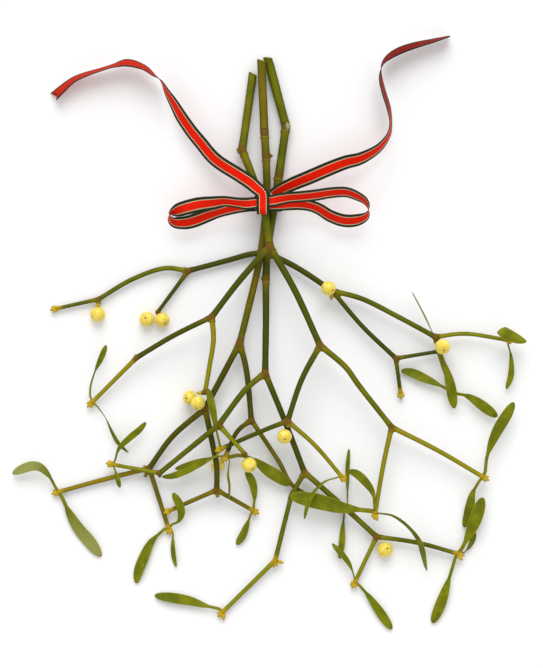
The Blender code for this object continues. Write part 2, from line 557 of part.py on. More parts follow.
def build_band(name, outline, width, to_place, mat, shown):
    """A closed band of ribbon: an open cylinder drawn to the outline, and given its thickness."""
    bm = bmesh.new()
    bmesh.ops.create_cone(bm, cap_ends=False, segments=len(outline), radius1=1, radius2=1, depth=width)
    for vert in bm.verts:
        k = round(math.atan2(vert.co.y, vert.co.x) / (2 * math.pi) * len(outline)) % len(outline)
        vert.co = to_place(*outline[k], vert.co.z) * MM
    return thickened(name, bm, RIBBON_THICK, mat, shown)


def settle(objects):
    """Moves every mesh so that the box round the bunch stands on the origin."""
    graph = bpy.context.evaluated_depsgraph_get()
    corners = []
    for obj in objects:
        corners += [Vector(c) for c in obj.evaluated_get(graph).bound_box]
    low = Vector([min(c[k] for c in corners) for k in range(3)])
    high = Vector([max(c[k] for c in corners) for k in range(3)])
    shift = Vector((-(low.x + high.x) / 2, -(low.y + high.y) / 2, -low.z))
    for obj in bpy.data.objects:
        obj.data.transform(Matrix.Translation(shift))


clear_scene()
bunch = new_collection("mistletoe_bunch")

bark = {
    "sprig_front": material("bark_front", (0.27, 0.29, 0.03), 0.5),
    "sprig_middle": material("bark_middle", (0.25, 0.19, 0.03), 0.55),
    "sprig_back": material("bark_back", (0.17, 0.20, 0.02), 0.5),
}
leaf_green = material("leaf_green", (0.17, 0.21, 0.01), 0.42)
berry_skin = material("berry_skin", (0.88, 0.72, 0.19), 0.25)
ribbon_weave = material("ribbon_weave", (0.75, 0.03, 0.01), 0.6)

for sprig_name, sprig_plan in (("sprig_front", FRONT), ("sprig_middle", MIDDLE), ("sprig_back", BACK)):
    build_sprig(sprig_name, sprig_plan, bark[sprig_name], bunch)
for leaf_name, *leaf_shape in LEAVES:
    build_leaf(leaf_name, *leaf_shape, leaf_green, bunch)
for number, berry_place in enumerate(BERRIES, 1):
    build_berry(f"berry_{number:02d}", berry_place, berry_skin, bunch)
build_strip("ribbon_tail_left", TAIL_LEFT, ribbon_weave, bunch)
build_strip("ribbon_tail_right", TAIL_RIGHT, ribbon_weave, bunch)
build_strip("ribbon_loop_left", LOOP_LEFT, ribbon_weave, bunch)
build_strip("ribbon_loop_right", LOOP_RIGHT, ribbon_weave, bunch)
build_band("ribbon_wrap", taut_outline(STEMS_AT_TIE, 0.6, 20), RIBBON_WIDTH - 0.4,
           lambda u, v, w: Vector((u, TIE_Y + w, v)), ribbon_weave, bunch)
build_band("ribbon_knot", taut_outline(LOOPS_AT_KNOT, 0.0, 20), RIBBON_WIDTH - 0.6,
           lambda u, v, w: Vector((KNOT_X + w, u, v)), ribbon_weave, bunch)
settle(bunch.objects)
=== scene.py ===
# %% [markdown]
# # A mistletoe bunch with a ribbon bow
# Three forking sprigs lie on a table. Each grew as one woody piece, with leathery leaves, golden
# buds and pale berries at its forks, and one ribbon ties them near the cut ends. The bunch's solid
# model fixes where everything lies. This lesson dresses it: it grows smooth wood, blades, berries
# and cloth over the solids, and paints them with materials made of nodes.

# %% The fixed frame
import math

import bpy
import numpy as np
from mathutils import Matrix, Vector, noise


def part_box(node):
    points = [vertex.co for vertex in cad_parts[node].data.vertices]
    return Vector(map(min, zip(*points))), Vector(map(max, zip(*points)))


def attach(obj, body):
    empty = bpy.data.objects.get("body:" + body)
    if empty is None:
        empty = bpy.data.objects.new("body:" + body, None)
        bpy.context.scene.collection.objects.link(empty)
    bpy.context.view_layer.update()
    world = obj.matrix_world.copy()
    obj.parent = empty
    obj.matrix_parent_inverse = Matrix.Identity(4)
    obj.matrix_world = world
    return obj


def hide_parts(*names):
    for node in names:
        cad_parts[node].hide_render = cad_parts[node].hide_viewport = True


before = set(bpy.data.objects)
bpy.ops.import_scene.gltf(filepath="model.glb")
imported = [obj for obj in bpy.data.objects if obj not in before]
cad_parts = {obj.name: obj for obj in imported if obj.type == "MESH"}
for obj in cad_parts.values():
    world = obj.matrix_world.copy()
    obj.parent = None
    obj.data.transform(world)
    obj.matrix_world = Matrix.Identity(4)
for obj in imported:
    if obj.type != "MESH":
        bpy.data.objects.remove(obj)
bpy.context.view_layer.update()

MM = 0.001

# %% [markdown]
# ## Camera
# The bunch is seen straight down, from far enough away that nothing leans outwards. A long lens at
# two and a half metres does that.

# %% Camera
CAMERA_HEIGHT = 2.5
VIEW_HEIGHT = 0.4342
camera = bpy.data.objects.new("camera", bpy.data.cameras.new("camera"))
camera.data.lens = camera.data.sensor_width * CAMERA_HEIGHT / VIEW_HEIGHT
camera.data.clip_end = 20.0
bpy.context.scene.collection.objects.link(camera)
bpy.context.scene.camera = camera
print("lens", round(camera.data.lens), "mm")

# %% [markdown]
# ## Node helpers
# A node tree is a chart of small steps. Written out in full it is long, so new_group starts a tree
# with named inputs and puts it to work, and short helpers add nodes to whichever tree is at work.

# %% Node helpers
FINISH = {"Color": ("Color", None), "Roughness": ("Float", None), "Height": ("Float", None)}
WHOLE_TURN = 6.2832
at_work = {}


def new_group(kind, name, takes, gives=FINISH):
    """Starts a tree with these named inputs and outputs. Returns the tree and its inputs."""
    tree = bpy.data.node_groups.new(name, kind)
    for way, sockets in (("INPUT", takes), ("OUTPUT", gives)):
        for label, (socket, value) in sockets.items():
            made = tree.interface.new_socket(label, in_out=way, socket_type="NodeSocket" + socket)
            if value is not None:
                made.default_value = value
    at_work.update(tree=tree, gives=tree.nodes.new("NodeGroupOutput").inputs)
    return tree, tree.nodes.new("NodeGroupInput").outputs


def plug(tree, value, socket):
    """Links another node's output to a socket, or sets the socket to a value."""
    if isinstance(value, bpy.types.NodeSocket):
        tree.links.new(value, socket)
    else:
        socket.default_value = value


def add_node(kind, inputs=None, tree=None, **options):
    """Adds a node to the tree at work, or to another tree."""
    tree = tree or at_work["tree"]
    made = tree.nodes.new(kind)
    for option, value in options.items():
        setattr(made, option, value)
    for key, value in (inputs or {}).items():
        plug(tree, value, made.inputs[key])
    return made


def first(kind, inputs=None, **options):
    """A new node's first output."""
    return add_node(kind, inputs, **options).outputs[0]


def reckon(operation, *terms):
    """A Math node's result."""
    return first("ShaderNodeMath", dict(enumerate(terms)), operation=operation)


def times(*terms):
    return reckon("MULTIPLY", *terms)


def times_plus(*terms):
    return reckon("MULTIPLY_ADD", *terms)


def axes(vector):
    """The three numbers of a vector."""
    return add_node("ShaderNodeSeparateXYZ", {0: vector}).outputs


def give(**results):
    """Hands results to the outputs of the tree at work."""
    for label, value in results.items():
        at_work["tree"].links.new(value, at_work["gives"][label])


# %% [markdown]
# ## Growing a mesh with Geometry Nodes
# Wood, leaves and ribbon all follow lines. Each line goes in as a mesh of loose edges whose points
# carry facts, such as how thick the shoot is there. A tree turns it into a solid, and the result is
# kept as a plain mesh, because a finished piece should not depend on its recipe. Every tree ends by
# making its copies real and handing them their material.

# %% Lines in, meshes out


def line_object(name, lines, **facts):
    """Lines of points, in millimetres, as a mesh of loose edges. Each fact has a value per point."""
    mesh = bpy.data.meshes.new(name)
    points, edges = [], []
    for line in lines:
        edges += [(k, k + 1) for k in range(len(points), len(points) + len(line) - 1)]
        points += [tuple(p * MM) for p in line]
    mesh.from_pydata(points, edges, [])
    for fact, values in facts.items():
        flat = np.array(values, np.float32)
        vector = flat.ndim == 2
        layer = mesh.attributes.new(fact, "FLOAT_VECTOR" if vector else "FLOAT", "POINT")
        layer.data.foreach_set("vector" if vector else "value", flat.ravel())
    made = bpy.data.objects.new(name, mesh)
    bpy.context.scene.collection.objects.link(made)
    return made


def grown(base, tree, finish=None, **values):
    """Runs a tree on an object and leaves the result as a plain mesh in a new object."""
    modifier = base.modifiers.new("grow", "NODES")
    modifier.node_group = tree
    for item in tree.interface.items_tree:
        if item.in_out == "INPUT" and item.name in values:
            modifier[item.identifier] = values[item.name]
    if finish:
        finish(base)
    bpy.context.view_layer.update()
    mesh = bpy.data.meshes.new_from_object(base.evaluated_get(bpy.context.evaluated_depsgraph_get()))
    name = base.name
    bpy.data.objects.remove(base)
    mesh.name = name
    made = bpy.data.objects.new(name, mesh)
    bpy.context.scene.collection.objects.link(made)
    return made


def fact_of(fact, kind="FLOAT"):
    """A fact that the points of a line carry."""
    return first("GeometryNodeInputNamedAttribute", {"Name": fact}, data_type=kind)


def noted(geometry, fact, value, kind="FLOAT", domain="POINT"):
    """The geometry with a fact stored on it, for its material to read."""
    return first("GeometryNodeStoreNamedAttribute", {"Geometry": geometry, "Name": fact, "Value": value},
                 data_type=kind, domain=domain)


def copies_of(piece, points, rotation):
    """A copy on every point, turned, and sized by the fact called size."""
    return first("GeometryNodeInstanceOnPoints",
                 {"Points": points, "Instance": piece, "Rotation": rotation, "Scale": fact_of("size")})


def swept(line, outline, scale):
    """A solid swept along a line, closed at both ends."""
    return first("GeometryNodeCurveToMesh",
                 {"Curve": line, "Profile Curve": outline, "Scale": scale, "Fill Caps": True})


def turned_to(aim):
    return first("FunctionNodeAlignRotationToVector", {"Vector": aim}, axis="Z")


def end_tree(label, geometry, skin, smooth=True):
    """Makes copies real, shades them smooth and gives them their material."""
    geometry = first("GeometryNodeRealizeInstances", {0: geometry})
    if smooth:
        geometry = first("GeometryNodeSetShadeSmooth", {0: geometry})
    give(**{label: first("GeometryNodeSetMaterial", {0: geometry, "Material": skin})})


def smooth_line(points, steps):
    """A Catmull-Rom line through the points, with this many steps between two of them."""
    padded = [points[0] * 2 - points[1], *points, points[-1] * 2 - points[-2]]
    line = []
    for a, b, c, d in zip(padded, padded[1:], padded[2:], padded[3:]):
        for k in range(steps):
            t = k / steps
            line.append(0.5 * (2 * b + (c - a) * t + (2 * a - 5 * b + 4 * c - d) * t**2
                               + (3 * b - a - 3 * c + d) * t**3))
    line.append(points[-1])
    return line


def travelled(line):
    """How far along the line each of its points is."""
    return np.cumsum([0.0, *((b - a).length for a, b in zip(line, line[1:]))])


# %% [markdown]
# ## The sprigs' plans
# Mistletoe forks at every joint, so a sprig is a short list of joints and of the shoots between
# them. A joint holds its place and its knuckle's radius. A shoot names its two joints, its radius
# at each, and any points it passes on the way. These are the plans the solid model was built from,
# in millimetres from the middle of the bunch. One berry, measured in the frame, tells how far the
# solid model was moved after it.

# %% Plans of the three sprigs
FRONT = {
    "joints": {
        "cut": (-10.5, 169, 3.1, 0), "upper": (-17.5, 119, 8.5, 3.1), "crown": (0.5, 56, 17, 3),
        "left_fork": (-37, 10.5, 18, 2.5), "left_ring": (-86, -16, 9.5, 2.1),
        "left_end": (-115, -45, 4.5, 1.9), "inner_end": (-41.5, -38.5, 13, 1.9),
        "right_fork": (33, -8, 18.5, 2.7), "middle_fork": (12, -57, 19, 2.5),
        "nest_end": (-31, -75, 14.5, 1.9), "thread_end": (47, -93, 14, 1.8),
        "far_fork": (79.5, -61, 13, 2.3), "low_end": (69, -116.5, 11.5, 1.9),
        "right_end": (139, -93.5, 8, 1.9),
    },
    "shoots": [
        ("cut", "upper", 2.7, 2.7, (-14, 143.5, 5.5)),
        ("upper", "crown", 2.6, 2.4, (-10, 99.5, 12.3), (-3, 78, 15.3)),
        ("crown", "left_fork", 2.2, 2.0, (-19, 34, 17.7)),
        ("left_fork", "left_ring", 1.8, 1.7, (-61.5, -1.5, 14.5)), ("left_ring", "left_end", 1.6, 1.4),
        ("left_fork", "inner_end", 1.8, 1.5, (-36, -4.5, 17), (-38.5, -21, 15.2)),
        ("crown", "right_fork", 2.3, 2.1, (17, 27, 18)),
        ("right_fork", "middle_fork", 2.0, 1.8, (21, -30.5, 19.5)),
        ("middle_fork", "nest_end", 1.6, 1.5, (-4.5, -63.5, 15.4)),
        ("middle_fork", "thread_end", 1.6, 1.4, (30, -73, 17)),
        ("right_fork", "far_fork", 2.0, 1.8, (49, -21.5, 17.6), (59, -35, 16)),
        ("far_fork", "low_end", 1.7, 1.5, (74, -86.5, 12.3)),
        ("far_fork", "right_end", 1.7, 1.5, (110, -76.5, 10.5)),
    ],
    "stubs": [
        ("upper", (-21, 118, 9, 1.7)), ("left_ring", (-87.5, -14, 9.5, 0.8)),
        ("middle_fork", (12, -61, 19.5, 1.3)), ("inner_end", (-44.5, -39, 12.6, 1.5)),
    ],
    "buds": ["left_end", "nest_end", "thread_end", "low_end", "right_end"],
}

MIDDLE = {
    "joints": {
        "cut": (-5, 177.5, 8.3, 0), "upper": (-3, 130.5, 8, 3), "ring": (-2, 115.5, 8.5, 2.9),
        "first_fork": (-19, -6.5, 9.5, 2.8), "left_fork": (-41.5, -49, 9.5, 2.6),
        "outer_fork": (-78, -88, 4.3, 2.2), "outer_end": (-137, -103.5, 3.2, 1.9),
        "down_end": (-65.5, -127, 3.2, 1.8), "low_fork": (-34, -102, 9, 2.3),
        "low_left_end": (-64.5, -115.5, 5, 1.7), "low_right_end": (-10.5, -115.5, 4.5, 1.8),
        "right_fork": (-11.5, -56.5, 8, 2.3), "nest_end": (-28, -79.5, 11, 1.8),
        "hidden_end": (49.5, -114, 3.2, 1.6),
    },
    "shoots": [
        ("cut", "upper", 2.85, 2.75), ("upper", "ring", 2.6, 2.6),
        ("ring", "first_fork", 2.5, 2.2, (-1.5, 95, 8.8), (-3, 70, 9), (-7.5, 41, 9.5)),
        ("first_fork", "left_fork", 2.1, 2.0), ("left_fork", "outer_fork", 2.0, 1.8, (-62.5, -67, 7.5)),
        ("outer_fork", "outer_end", 1.7, 1.5, (-110, -96, 3.5)), ("outer_fork", "down_end", 1.6, 1.4),
        ("left_fork", "low_fork", 2.0, 1.8, (-36.5, -73, 10.3), (-34, -86.5, 10.9)),
        ("low_fork", "low_left_end", 1.6, 1.4), ("low_fork", "low_right_end", 1.6, 1.4),
        ("first_fork", "right_fork", 2.0, 1.8, (-14.5, -25.5, 9)),
        ("right_fork", "nest_end", 1.6, 1.5, (-21, -64.5, 9.8)),
        ("right_fork", "hidden_end", 1.6, 1.4, (6, -83, 6), (18, -101.5, 4.2)),
    ],
    "stubs": [
        ("ring", (2.5, 115, 8.5, 1.2)), ("outer_fork", (-82, -87, 4.5, 1.2)),
        ("outer_fork", (-81, -94, 4.3, 1.2)), ("low_fork", (-33.5, -107, 9, 1.3)),
    ],
    "buds": ["outer_end", "down_end", "low_left_end", "low_right_end", "nest_end"],
}

BACK = {
    "joints": {
        "cut": (-1, 179.5, 3.4, 0), "upper": (11, 134.5, 4.5, 3.2), "ring": (6.5, 103, 5.5, 3),
        "crown": (-1.5, 52.5, 4.8, 3.1), "left_fork": (-52.5, 40.5, 4.3, 2.3),
        "outer_left": (-111, 22, 3.5, 1.9), "outer_left_end": (-138, 16, 3, 1.7),
        "pair_end": (-72.5, 13.5, 4.3, 1.7), "right_fork": (41, 27.5, 8, 2.4),
        "outer_right": (108, -2.5, 8.5, 2.4), "curl_end": (154.5, -4.5, 8, 1.8),
        "under_end": (119, -37.5, 4.5, 1.7), "lower_right": (82.5, -16.5, 7.5, 2.1),
        "berry_end": (110, -12, 5.5, 1.6), "bud_end": (85.5, -38.5, 4, 1.6), "collar": (-2, 35, 8.5, 2.8),
        "middle_fork": (-2.5, -26, 16, 2.7), "inner_left": (-32.5, -59.5, 18.5, 2.4),
        "left_low": (-71, -91, 9.3, 2.1), "left_low_end": (-101.5, -85.5, 7.8, 1.7),
        "stub_end": (-15.5, -78.5, 18.5, 1.8), "inner_right": (23, -90.5, 9.5, 2.3),
        "bend": (14.5, -105.5, 8.3, 1.9), "left_foot": (4, -148, 4.8, 2),
        "left_foot_end": (-30, -181.5, 3, 1.8), "right_foot": (70, -132.5, 6, 2.3),
        "right_foot_end": (56, -162, 3.8, 1.7), "far_foot_end": (122.5, -143.5, 5, 1.8),
    },
    "shoots": [
        ("cut", "upper", 3.15, 2.85), ("upper", "ring", 2.7, 2.8),
        ("ring", "crown", 2.7, 2.5, (3, 80, 5.5)),
        ("crown", "left_fork", 1.9, 1.8, (-13.5, 51, 4.5), (-28, 47, 4.3)),
        ("left_fork", "outer_left", 1.7, 1.5, (-69, 42, 4.2), (-90, 34.5, 4)),
        ("outer_left", "outer_left_end", 1.4, 1.3), ("left_fork", "pair_end", 1.5, 1.3),
        ("crown", "right_fork", 2.0, 1.9, (19, 42, 6.5)),
        ("right_fork", "outer_right", 1.8, 1.7, (61, 22, 8.5), (83, 11, 9)),
        ("outer_right", "curl_end", 1.5, 1.4, (128.5, -0.5, 8)),
        ("outer_right", "under_end", 1.5, 1.4, (112, -17.5, 5.5)),
        ("right_fork", "lower_right", 1.6, 1.6, (60.5, 4.5, 7.7)), ("lower_right", "berry_end", 1.4, 1.3),
        ("lower_right", "bud_end", 1.4, 1.3), ("crown", "collar", 2.4, 2.4),
        ("collar", "middle_fork", 2.3, 2.1, (-2, 7, 13)),
        ("middle_fork", "inner_left", 2.0, 1.9, (-16, -37.5, 18)),
        ("inner_left", "left_low", 1.9, 1.7, (-51.5, -75, 14.3)), ("left_low", "left_low_end", 1.4, 1.3),
        ("inner_left", "stub_end", 1.6, 1.4), ("middle_fork", "inner_right", 2.0, 1.9, (11, -59, 13.2)),
        ("inner_right", "bend", 1.7, 1.6), ("bend", "left_foot", 1.6, 1.6),
        ("left_foot", "left_foot_end", 1.6, 1.4),
        ("inner_right", "right_foot", 1.9, 1.8, (47.5, -112, 8.2)),
        ("right_foot", "right_foot_end", 1.5, 1.4),
        ("right_foot", "far_foot_end", 1.6, 1.5, (97, -136.5, 5.6)),
    ],
    "stubs": [
        ("upper", (12.5, 134.5, 8.2, 2.1)), ("outer_left", (-111, 18.5, 3.9, 1.5)),
        ("ring", (3, 100, 5.5, 0.9)), ("collar", (-5.5, 36, 8.8, 1)), ("left_low", (-71, -94, 9, 1.2)),
        ("right_fork", (40.5, 23, 8, 1.4)), ("inner_right", (24.5, -94, 9.5, 1.1)),
    ],
    "buds": [
        "outer_left_end", "curl_end", "under_end", "bud_end", "left_low_end", "left_foot", "left_foot_end",
        "right_foot_end", "far_foot_end",
    ],
}

# %% [markdown]
# ## Berries and leaves, and where they lie
# A berry is a place and a radius. A leaf is its greatest width, how far the blade rolls about its
# midrib, how much of its length is stalk, and then the points of its midrib.

# %% Places of berries and leaves
BERRIES = [
    (-111.5, 12, 4.8, 4.6), (-79.5, 9, 4.9, 4.6), (-69.5, 8.5, 4.9, 4.5), (-51.5, -42, 7, 4.4),
    (-46, -45.5, 13.8, 4.4), (-33.5, -86, 4.4, 4.2), (-13, -85.5, 15.3, 4.7), (10, -67, 19, 4.5),
    (38.5, 29, 15.3, 4.5), (112.5, -9, 13.4, 4.7), (75.5, -141, 5, 4.7),
]
LEAVES = [
    ("left_spoon", 4.2, 20, 0.45, (-116.5, -41, 5.6), (-116, -34, 6.4), (-113, -24.5, 7),
     (-109, -15.5, 7), (-106, -8, 6.4)),
    ("left_hook", 3.6, 50, 0.2, (-111.5, -48, 4.6), (-106.5, -55, 5), (-102, -64.5, 4.8),
     (-98, -71.5, 4.2), (-91.5, -78, 3.2)),
    ("far_left_arch", 6.4, 10, 0.15, (-139, -100.5, 4.6), (-143, -93, 7), (-148.5, -87.5, 8),
     (-154, -86.5, 8), (-160.5, -88.5, 6.5), (-167, -91.5, 4)),
    ("far_left_pale", 8.6, 15, 0.08, (-134.5, -107.5, 3.4), (-130, -117, 3.4), (-124, -127, 3),
     (-116.5, -136, 2.6), (-109.5, -145.5, 2)),
    ("nest_left_upper", 4.0, 10, 0.2, (-31.5, -80, 13), (-36, -80.5, 14.2), (-45, -83, 12.6),
     (-53, -86, 10), (-61, -88.5, 7)),
    ("nest_left_lower", 4.6, 15, 0.1, (-34, -79.5, 16.2), (-40.5, -83.5, 16.2), (-48, -87, 13.5),
     (-56, -90.5, 11), (-63, -93, 9), (-69.5, -93.5, 7)),
    ("nest_up", 4.8, 0, 0.25, (-32, -72, 16), (-34, -63, 20.8), (-36.5, -49, 21), (-39.5, -36, 19.4)),
    ("nest_down", 3.4, 60, 0.2, (-25.5, -83, 11), (-26.5, -91.5, 11), (-25.5, -99.5, 10.5),
     (-26, -108, 10)),
    ("nest_right", 8.2, 5, 0.30, (-25.5, -80.5, 10), (-19, -79.5, 8.8), (-10.5, -82, 8.2),
     (-1.5, -88.5, 8.6), (7, -94, 8.2), (13.5, -99, 7.4)),
    ("down_curl", 5.6, 5, 0.1, (-63, -124.5, 4.8), (-59, -122.5, 5.8), (-57, -117.5, 7.2),
     (-58, -112, 8.3), (-60, -108, 8.3), (-62.5, -104, 7.4)),
    ("down_left", 7.0, 10, 0.1, (-68.5, -128, 3), (-76.5, -136, 3), (-82, -147.5, 2.8),
     (-85, -155.5, 2.6), (-86.5, -163, 2)),
    ("down_right", 4.0, 30, 0.1, (-62.5, -130, 3.2), (-62.5, -138, 3.4), (-62, -145, 3.2),
     (-60.5, -152.5, 2.6)),
    ("low_right_up", 5.6, 20, 0.12, (-10, -113, 5), (-9.5, -105.5, 6), (-11, -97, 7), (-15, -89.5, 7.4)),
    ("low_right_down", 5.0, 10, 0.1, (-12, -118.5, 4.2), (-14, -124, 3.6), (-17, -131.5, 3),
     (-21, -138, 2.2)),
    ("hidden_up", 3.4, 30, 0.2, (51, -111, 3.8), (51, -99, 5), (51, -87, 5.5), (52, -75.5, 5)),
    ("hidden_down", 4.2, 10, 0.15, (49, -116.5, 3), (48, -128, 2.8), (47.5, -136.5, 2.6), (46, -147, 2)),
    ("low_broad", 10.0, 5, 0.1, (66.5, -115.5, 11.6), (57, -114.5, 12.6), (46, -113, 13),
     (36.5, -110.5, 12.8), (25.5, -108, 12), (13, -105.5, 10.5)),
    ("low_up", 5.8, -15, 0.15, (68.5, -113.5, 14.2), (67.5, -104, 14), (62.5, -96.5, 13),
     (57, -91.5, 11.5), (51.5, -89.5, 10)),
    ("low_side", 6.6, 62, 0.1, (72, -117, 12), (80.5, -118.5, 13.5), (90.5, -125.5, 13),
     (98.5, -136.5, 11.8), (102.5, -154.5, 8)),
    ("thread", 3.4, 50, 0.1, (45, -93.5, 14.4), (36, -96.5, 16.2), (29, -103.5, 17.5), (25, -112, 17.2),
     (23, -120.5, 16)),
    ("right_up", 7.4, 0, 0.2, (140.5, -90, 9.2), (141.5, -80.5, 10.5), (144.5, -71.5, 11), (149, -62, 11),
     (154.5, -53, 10.5), (159, -45, 10)),
    ("right_down", 6.6, 15, 0.12, (136.5, -96.5, 8), (132.5, -104, 7.6), (131, -112, 6),
     (129.5, -119.5, 4), (127, -126.5, 2.4)),
    ("left_low_up", 4.6, 15, 0.1, (-100, -82.5, 8.6), (-97.5, -75, 9.6), (-90.5, -68, 9.5),
     (-84.5, -63, 9), (-80, -58, 8)),
    ("left_low_down", 3.6, 25, 0.1, (-100.5, -88, 8), (-99, -92.5, 8.4), (-98, -96, 8), (-97, -100.5, 7)),
    ("foot_left", 6.8, 10, 0.1, (-33, -179.5, 3), (-41.5, -177.5, 3.6), (-51.5, -174.5, 3.4),
     (-63, -172.5, 3), (-74.5, -171, 2)),
    ("foot_up", 4.0, 20, 0.15, (55.5, -159.5, 4.8), (53.5, -153, 6), (49.5, -146.5, 6.4), (41, -137, 6)),
    ("foot_down", 6.2, 10, 0.1, (59.5, -165, 3.4), (65, -171.5, 3.4), (72.5, -182, 3), (80, -193, 2)),
    ("far_foot_up", 8.2, 0, 0.1, (125, -141, 6.2), (128.5, -134, 8), (132.5, -125.5, 8.8),
     (136, -116, 8.6), (139, -107, 8)),
    ("far_foot_behind", 4.2, 20, 0.1, (127, -143, 4.6), (130, -139.5, 4.2), (132.5, -134.5, 4),
     (133.5, -128.5, 3.6)),
    ("far_foot_down", 7.0, 10, 0.25, (121, -147, 4.4), (119, -154, 4.2), (116, -164, 3.8), (112, -176, 3),
     (106.5, -189, 2)),
    ("berry_leaf", 6.8, 10, 0.1, (112, -14.5, 8.8), (115, -23, 9.4), (118, -34, 9.2), (120.5, -49, 7)),
    ("under_left", 6.2, 10, 0.1, (116, -36.5, 4.6), (109, -33, 4.8), (101, -29.5, 4.4), (93, -26, 3.6),
     (86, -24.5, 3)),
    ("under_right", 6.8, 10, 0.1, (122.5, -39.5, 4.8), (129, -41, 6), (136.5, -45.5, 6.8),
     (148.5, -54.5, 6)),
    ("needle", 2.6, 75, 0.1, (105.5, 1.5, 9.8), (102, 9, 10.5), (97.5, 18, 10), (93, 26.5, 9)),
    ("curl_up", 8.9, -6, 0.27, (153, -3, 10.6), (151, -0.5, 12.2), (149.5, 2, 14.6), (151, 1.5, 16.2),
     (156.5, -1.5, 15.8), (162.5, -4, 14.5), (167, -5.5, 13.2)),
    ("curl_down", 4.2, 30, 0.1, (155.5, -7.5, 7.2), (157.5, -16, 7), (157.5, -27.5, 6), (154.5, -36.5, 4)),
]

# %% How far the solid model was moved
first_low, first_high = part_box("berry_01")
SHIFT = (first_low + first_high) / 2 / MM - Vector(BERRIES[0][:3])
VIEW_MIDDLE = Vector((1.6, -0.65, 8.0))
camera.location = VIEW_MIDDLE * MM + SHIFT * MM + Vector((0, 0, CAMERA_HEIGHT))


def place(point):
    """A plan's point in the frame, still in millimetres."""
    return Vector(point[:3]) + SHIFT


print("moved by", [round(v, 2) for v in SHIFT], "mm")

# %% [markdown]
# ## Wood
# Real shoots are smooth round rods that swell into a knuckle at each fork, with a collar where the
# next shoot starts. Tubes joined edge to edge would show hard seams. So one tree sweeps a circle
# along every shoot and sets a ball on every knuckle, and a fine voxel remesh melts them together,
# which rounds each joint the way growth does.

# %% A tree that sweeps shoots and sets knuckles
wood_tree, takes = new_group(
    "GeometryNodeTree", "sprig_wood",
    {"Lines": ("Geometry", None), "Sides": ("Int", 14), "Bark": ("Material", None)},
    {"Wood": ("Geometry", None)})
thick = fact_of("thick")
rim = first("GeometryNodeCurvePrimitiveCircle", {"Resolution": takes["Sides"], "Radius": 1.0})
routes = first("GeometryNodeMeshToCurve", {"Mesh": takes["Lines"]})
rods = swept(routes, rim, thick)
alone = reckon("LESS_THAN", first("GeometryNodeInputMeshVertexNeighbors"), 0.5)
knots = first("GeometryNodeMeshToPoints", {"Mesh": takes["Lines"], "Selection": alone})
ball = first("GeometryNodeMeshIcoSphere", {"Radius": 1.0, "Subdivisions": 3})
balls = first("GeometryNodeInstanceOnPoints", {"Points": knots, "Instance": ball, "Scale": thick})
together = add_node("GeometryNodeJoinGeometry", {0: balls})
wood_tree.links.new(rods, together.inputs[0])
end_tree("Wood", together.outputs[0], takes["Bark"], smooth=False)
print("the wood tree has", len(wood_tree.nodes), "nodes")

# %% [markdown]
# A shoot is a little thicker next to the knuckles it joins, and never perfectly even. A collar is a
# very short, thicker run of the same tube. All of it goes into one set of lines for each sprig.

# %% Lines of a sprig
FLARE = 0.45
COLLAR = 1.16
COLLAR_LENGTH = 0.9


def sprig_shoots(plan):
    """Every shoot as (start joint, end joint, points, radii), in the frame's millimetres."""
    joints = {key: place(value) for key, value in plan["joints"].items()}
    swell = {key: value[3] for key, value in plan["joints"].items()}
    shoots = []
    for start, end, start_radius, end_radius, *between in plan["shoots"]:
        line = smooth_line([joints[start], *map(place, between), joints[end]], 14 if not between else 9)
        far = travelled(line)
        radii = []
        for point, gone in zip(line, far):
            radius = start_radius + (end_radius - start_radius) * gone / far[-1]
            for knuckle, away in ((swell[start], gone), (swell[end], far[-1] - gone)):
                if knuckle:
                    radius += FLARE * max(knuckle - radius, 0) * math.exp(-(away / (1.5 * knuckle)) ** 2)
            radii.append(radius * (1.01 + 0.035 * noise.noise(point * 0.13)))
        shoots.append((start, end, line, radii))
    return shoots


def sprig_lines(plan, shoots):
    """The lines and thicknesses for the wood tree: shoots, collars, stubs, then lone knuckles."""
    lines = [line for _, _, line, _ in shoots]
    thick = [radius for _, _, _, radii in shoots for radius in radii]
    for start, _, line, radii in shoots:
        if start != "cut":
            ahead = (line[2] - line[0]).normalized()
            foot = line[0] + ahead * plan["joints"][start][3] * 1.02
            lines.append([foot, foot + ahead * COLLAR_LENGTH])
            thick += [radii[2] * COLLAR] * 2
    for key, stub in plan["stubs"]:
        lines.append([place(plan["joints"][key]), place(stub)])
        thick += [stub[3] * 1.05, stub[3] * 0.95]
    for value in plan["joints"].values():
        if value[3]:
            lines.append([place(value)])
            thick.append(value[3])
    return lines, [radius * MM for radius in thick]


# %% [markdown]
# The bark's colour depends on the place: brown at a knuckle, yellow where a shoot leaves it, pale
# on a cut. The remesh forgets all that, so each point of the finished wood looks up its nearest
# shoot and knuckle and keeps the answers as attributes, which the material reads.

# %% What each point of the wood knows


def nearest_shoot(points, shoots):
    """For each point: how far along its nearest shoot it is, and which shoot that is."""
    depth = np.full(len(points), 1e9)
    gone = np.zeros(len(points))
    which = np.zeros(len(points), int)
    for number, (_, _, line, radii) in enumerate(shoots):
        route = np.array([tuple(p) for p in line])
        far = travelled(line)
        near = np.all((points > route.min(0) - 5) & (points < route.max(0) + 5), axis=1).nonzero()[0]
        if not len(near):
            continue
        start, step = route[:-1], route[1:] - route[:-1]
        offset = points[near][:, None] - start[None]
        t = np.clip((offset * step).sum(2) / (step**2).sum(1), 0, 1)
        gap = np.linalg.norm(offset - t[..., None] * step, axis=2) - np.array(radii)[:-1]
        pick = gap.argmin(1)
        rows = np.arange(len(near))
        better = gap[rows, pick] < depth[near]
        chosen = near[better]
        depth[chosen] = gap[rows, pick][better]
        gone[chosen] = (far[:-1][pick] + t[rows, pick] * (far[1:] - far[:-1])[pick])[better]
        which[chosen] = number
    return gone, which


